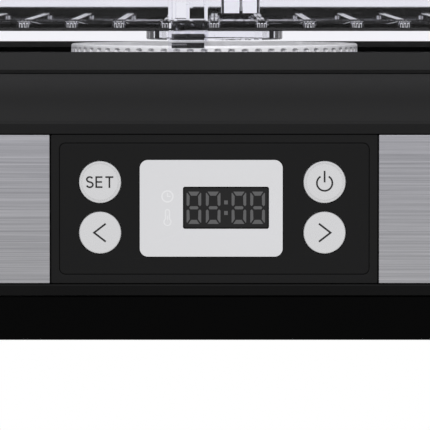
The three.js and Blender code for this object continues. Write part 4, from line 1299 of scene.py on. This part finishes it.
def studio():
    """A white table and a white room. Both look white, and light the object more softly than that."""
    floor_mesh = bmesh.new()
    bmesh.ops.create_grid(floor_mesh, x_segments=1, y_segments=1, size=TABLE_HALF)
    floor = made("floor", floor_mesh)
    white = bpy.data.materials.new("table_white")
    white.use_nodes = True
    tree = white.node_tree
    tree.nodes.remove(tree.nodes["Principled BSDF"])
    glow(tree, tree.nodes["Material Output"], seen_as(tree, 1.0, TABLE_GLOW, EDGE_GLOW), (1, 1, 1))
    floor.data.materials.append(white)
    world = bpy.data.worlds.new("studio")
    bpy.context.scene.world = world
    world.use_nodes = True
    tree = world.node_tree
    tree.nodes.remove(tree.nodes["Background"])
    glow(tree, tree.nodes["World Output"], seen_as(tree, 0.94, ROOM_GLOW, EDGE_GLOW), (0.953, 0.953, 1))


def soft_box(name, spot, target, wide, high, power, only=()):
    """A soft white panel that shines from one spot towards another. Clear plastic doesn't shade its
    light. only lists the pieces that it lights, if it doesn't light them all."""
    data = bpy.data.lights.new(name, "AREA")
    data.shape = "RECTANGLE"
    data.size, data.size_y = wide, high
    data.energy = power
    light = bpy.data.objects.new(name, data)
    light.location = spot
    light.visible_camera = False
    light.rotation_euler = (Vector(target) - Vector(spot)).to_track_quat("-Z", "Y").to_euler()
    bpy.context.scene.collection.objects.link(light)
    shading = bpy.data.collections.new(name + "_shading")
    for thing in bpy.context.scene.objects:
        if thing.type == "MESH" and not thing.name.startswith("clear_"):
            shading.objects.link(thing)
    light.light_linking.blocker_collection = shading
    if only:
        lit = bpy.data.collections.new(name + "_lit")
        for thing in only:
            lit.objects.link(thing)
        light.light_linking.receiver_collection = lit


def dark_card():
    """A black strip behind the lowest tray. Only the clear plastic in front of it shows it."""
    back = BASE_HALF_Y + 10
    card = box("dark_card", -BASE_HALF_X, BASE_HALF_X, back, back + 1, CARD_BOTTOM, CARD_TOP)
    black = Finish("card_black", Roughness=0.9, Specular_IOR_Level=0.0)
    black.vary("Base Color", black.place.noise(50, 2).blend(0.003, 0.005))
    card.data.materials.append(black.material)
    card.visible_camera = False
    card.visible_shadow = False
    card.visible_diffuse = False
    card.visible_glossy = False


def camera():
    data = bpy.data.cameras.new("camera")
    data.lens = 401
    data.sensor_width = 36
    data.clip_end = 200
    holder = bpy.data.objects.new("camera", data)
    spot, target = Vector((0.25, -1830, 137.2)) * MM, Vector((0.25, -130, 47.7)) * MM
    holder.location = spot
    holder.rotation_euler = (target - spot).to_track_quat("-Z", "Y").to_euler()
    bpy.context.scene.collection.objects.link(holder)
    bpy.context.scene.camera = holder


studio()
soft_box("key", (0, -2.0, 1.9), (0, 0, 0.08), 3.0, 1.6, 15)
soft_box("cap_light", (0, -1.6, 1.1), (0, 0, 0.1), 1.2, 0.4, 22, [cap])
dark_card()
camera()
bpy.context.scene.view_settings.view_transform = "Standard"
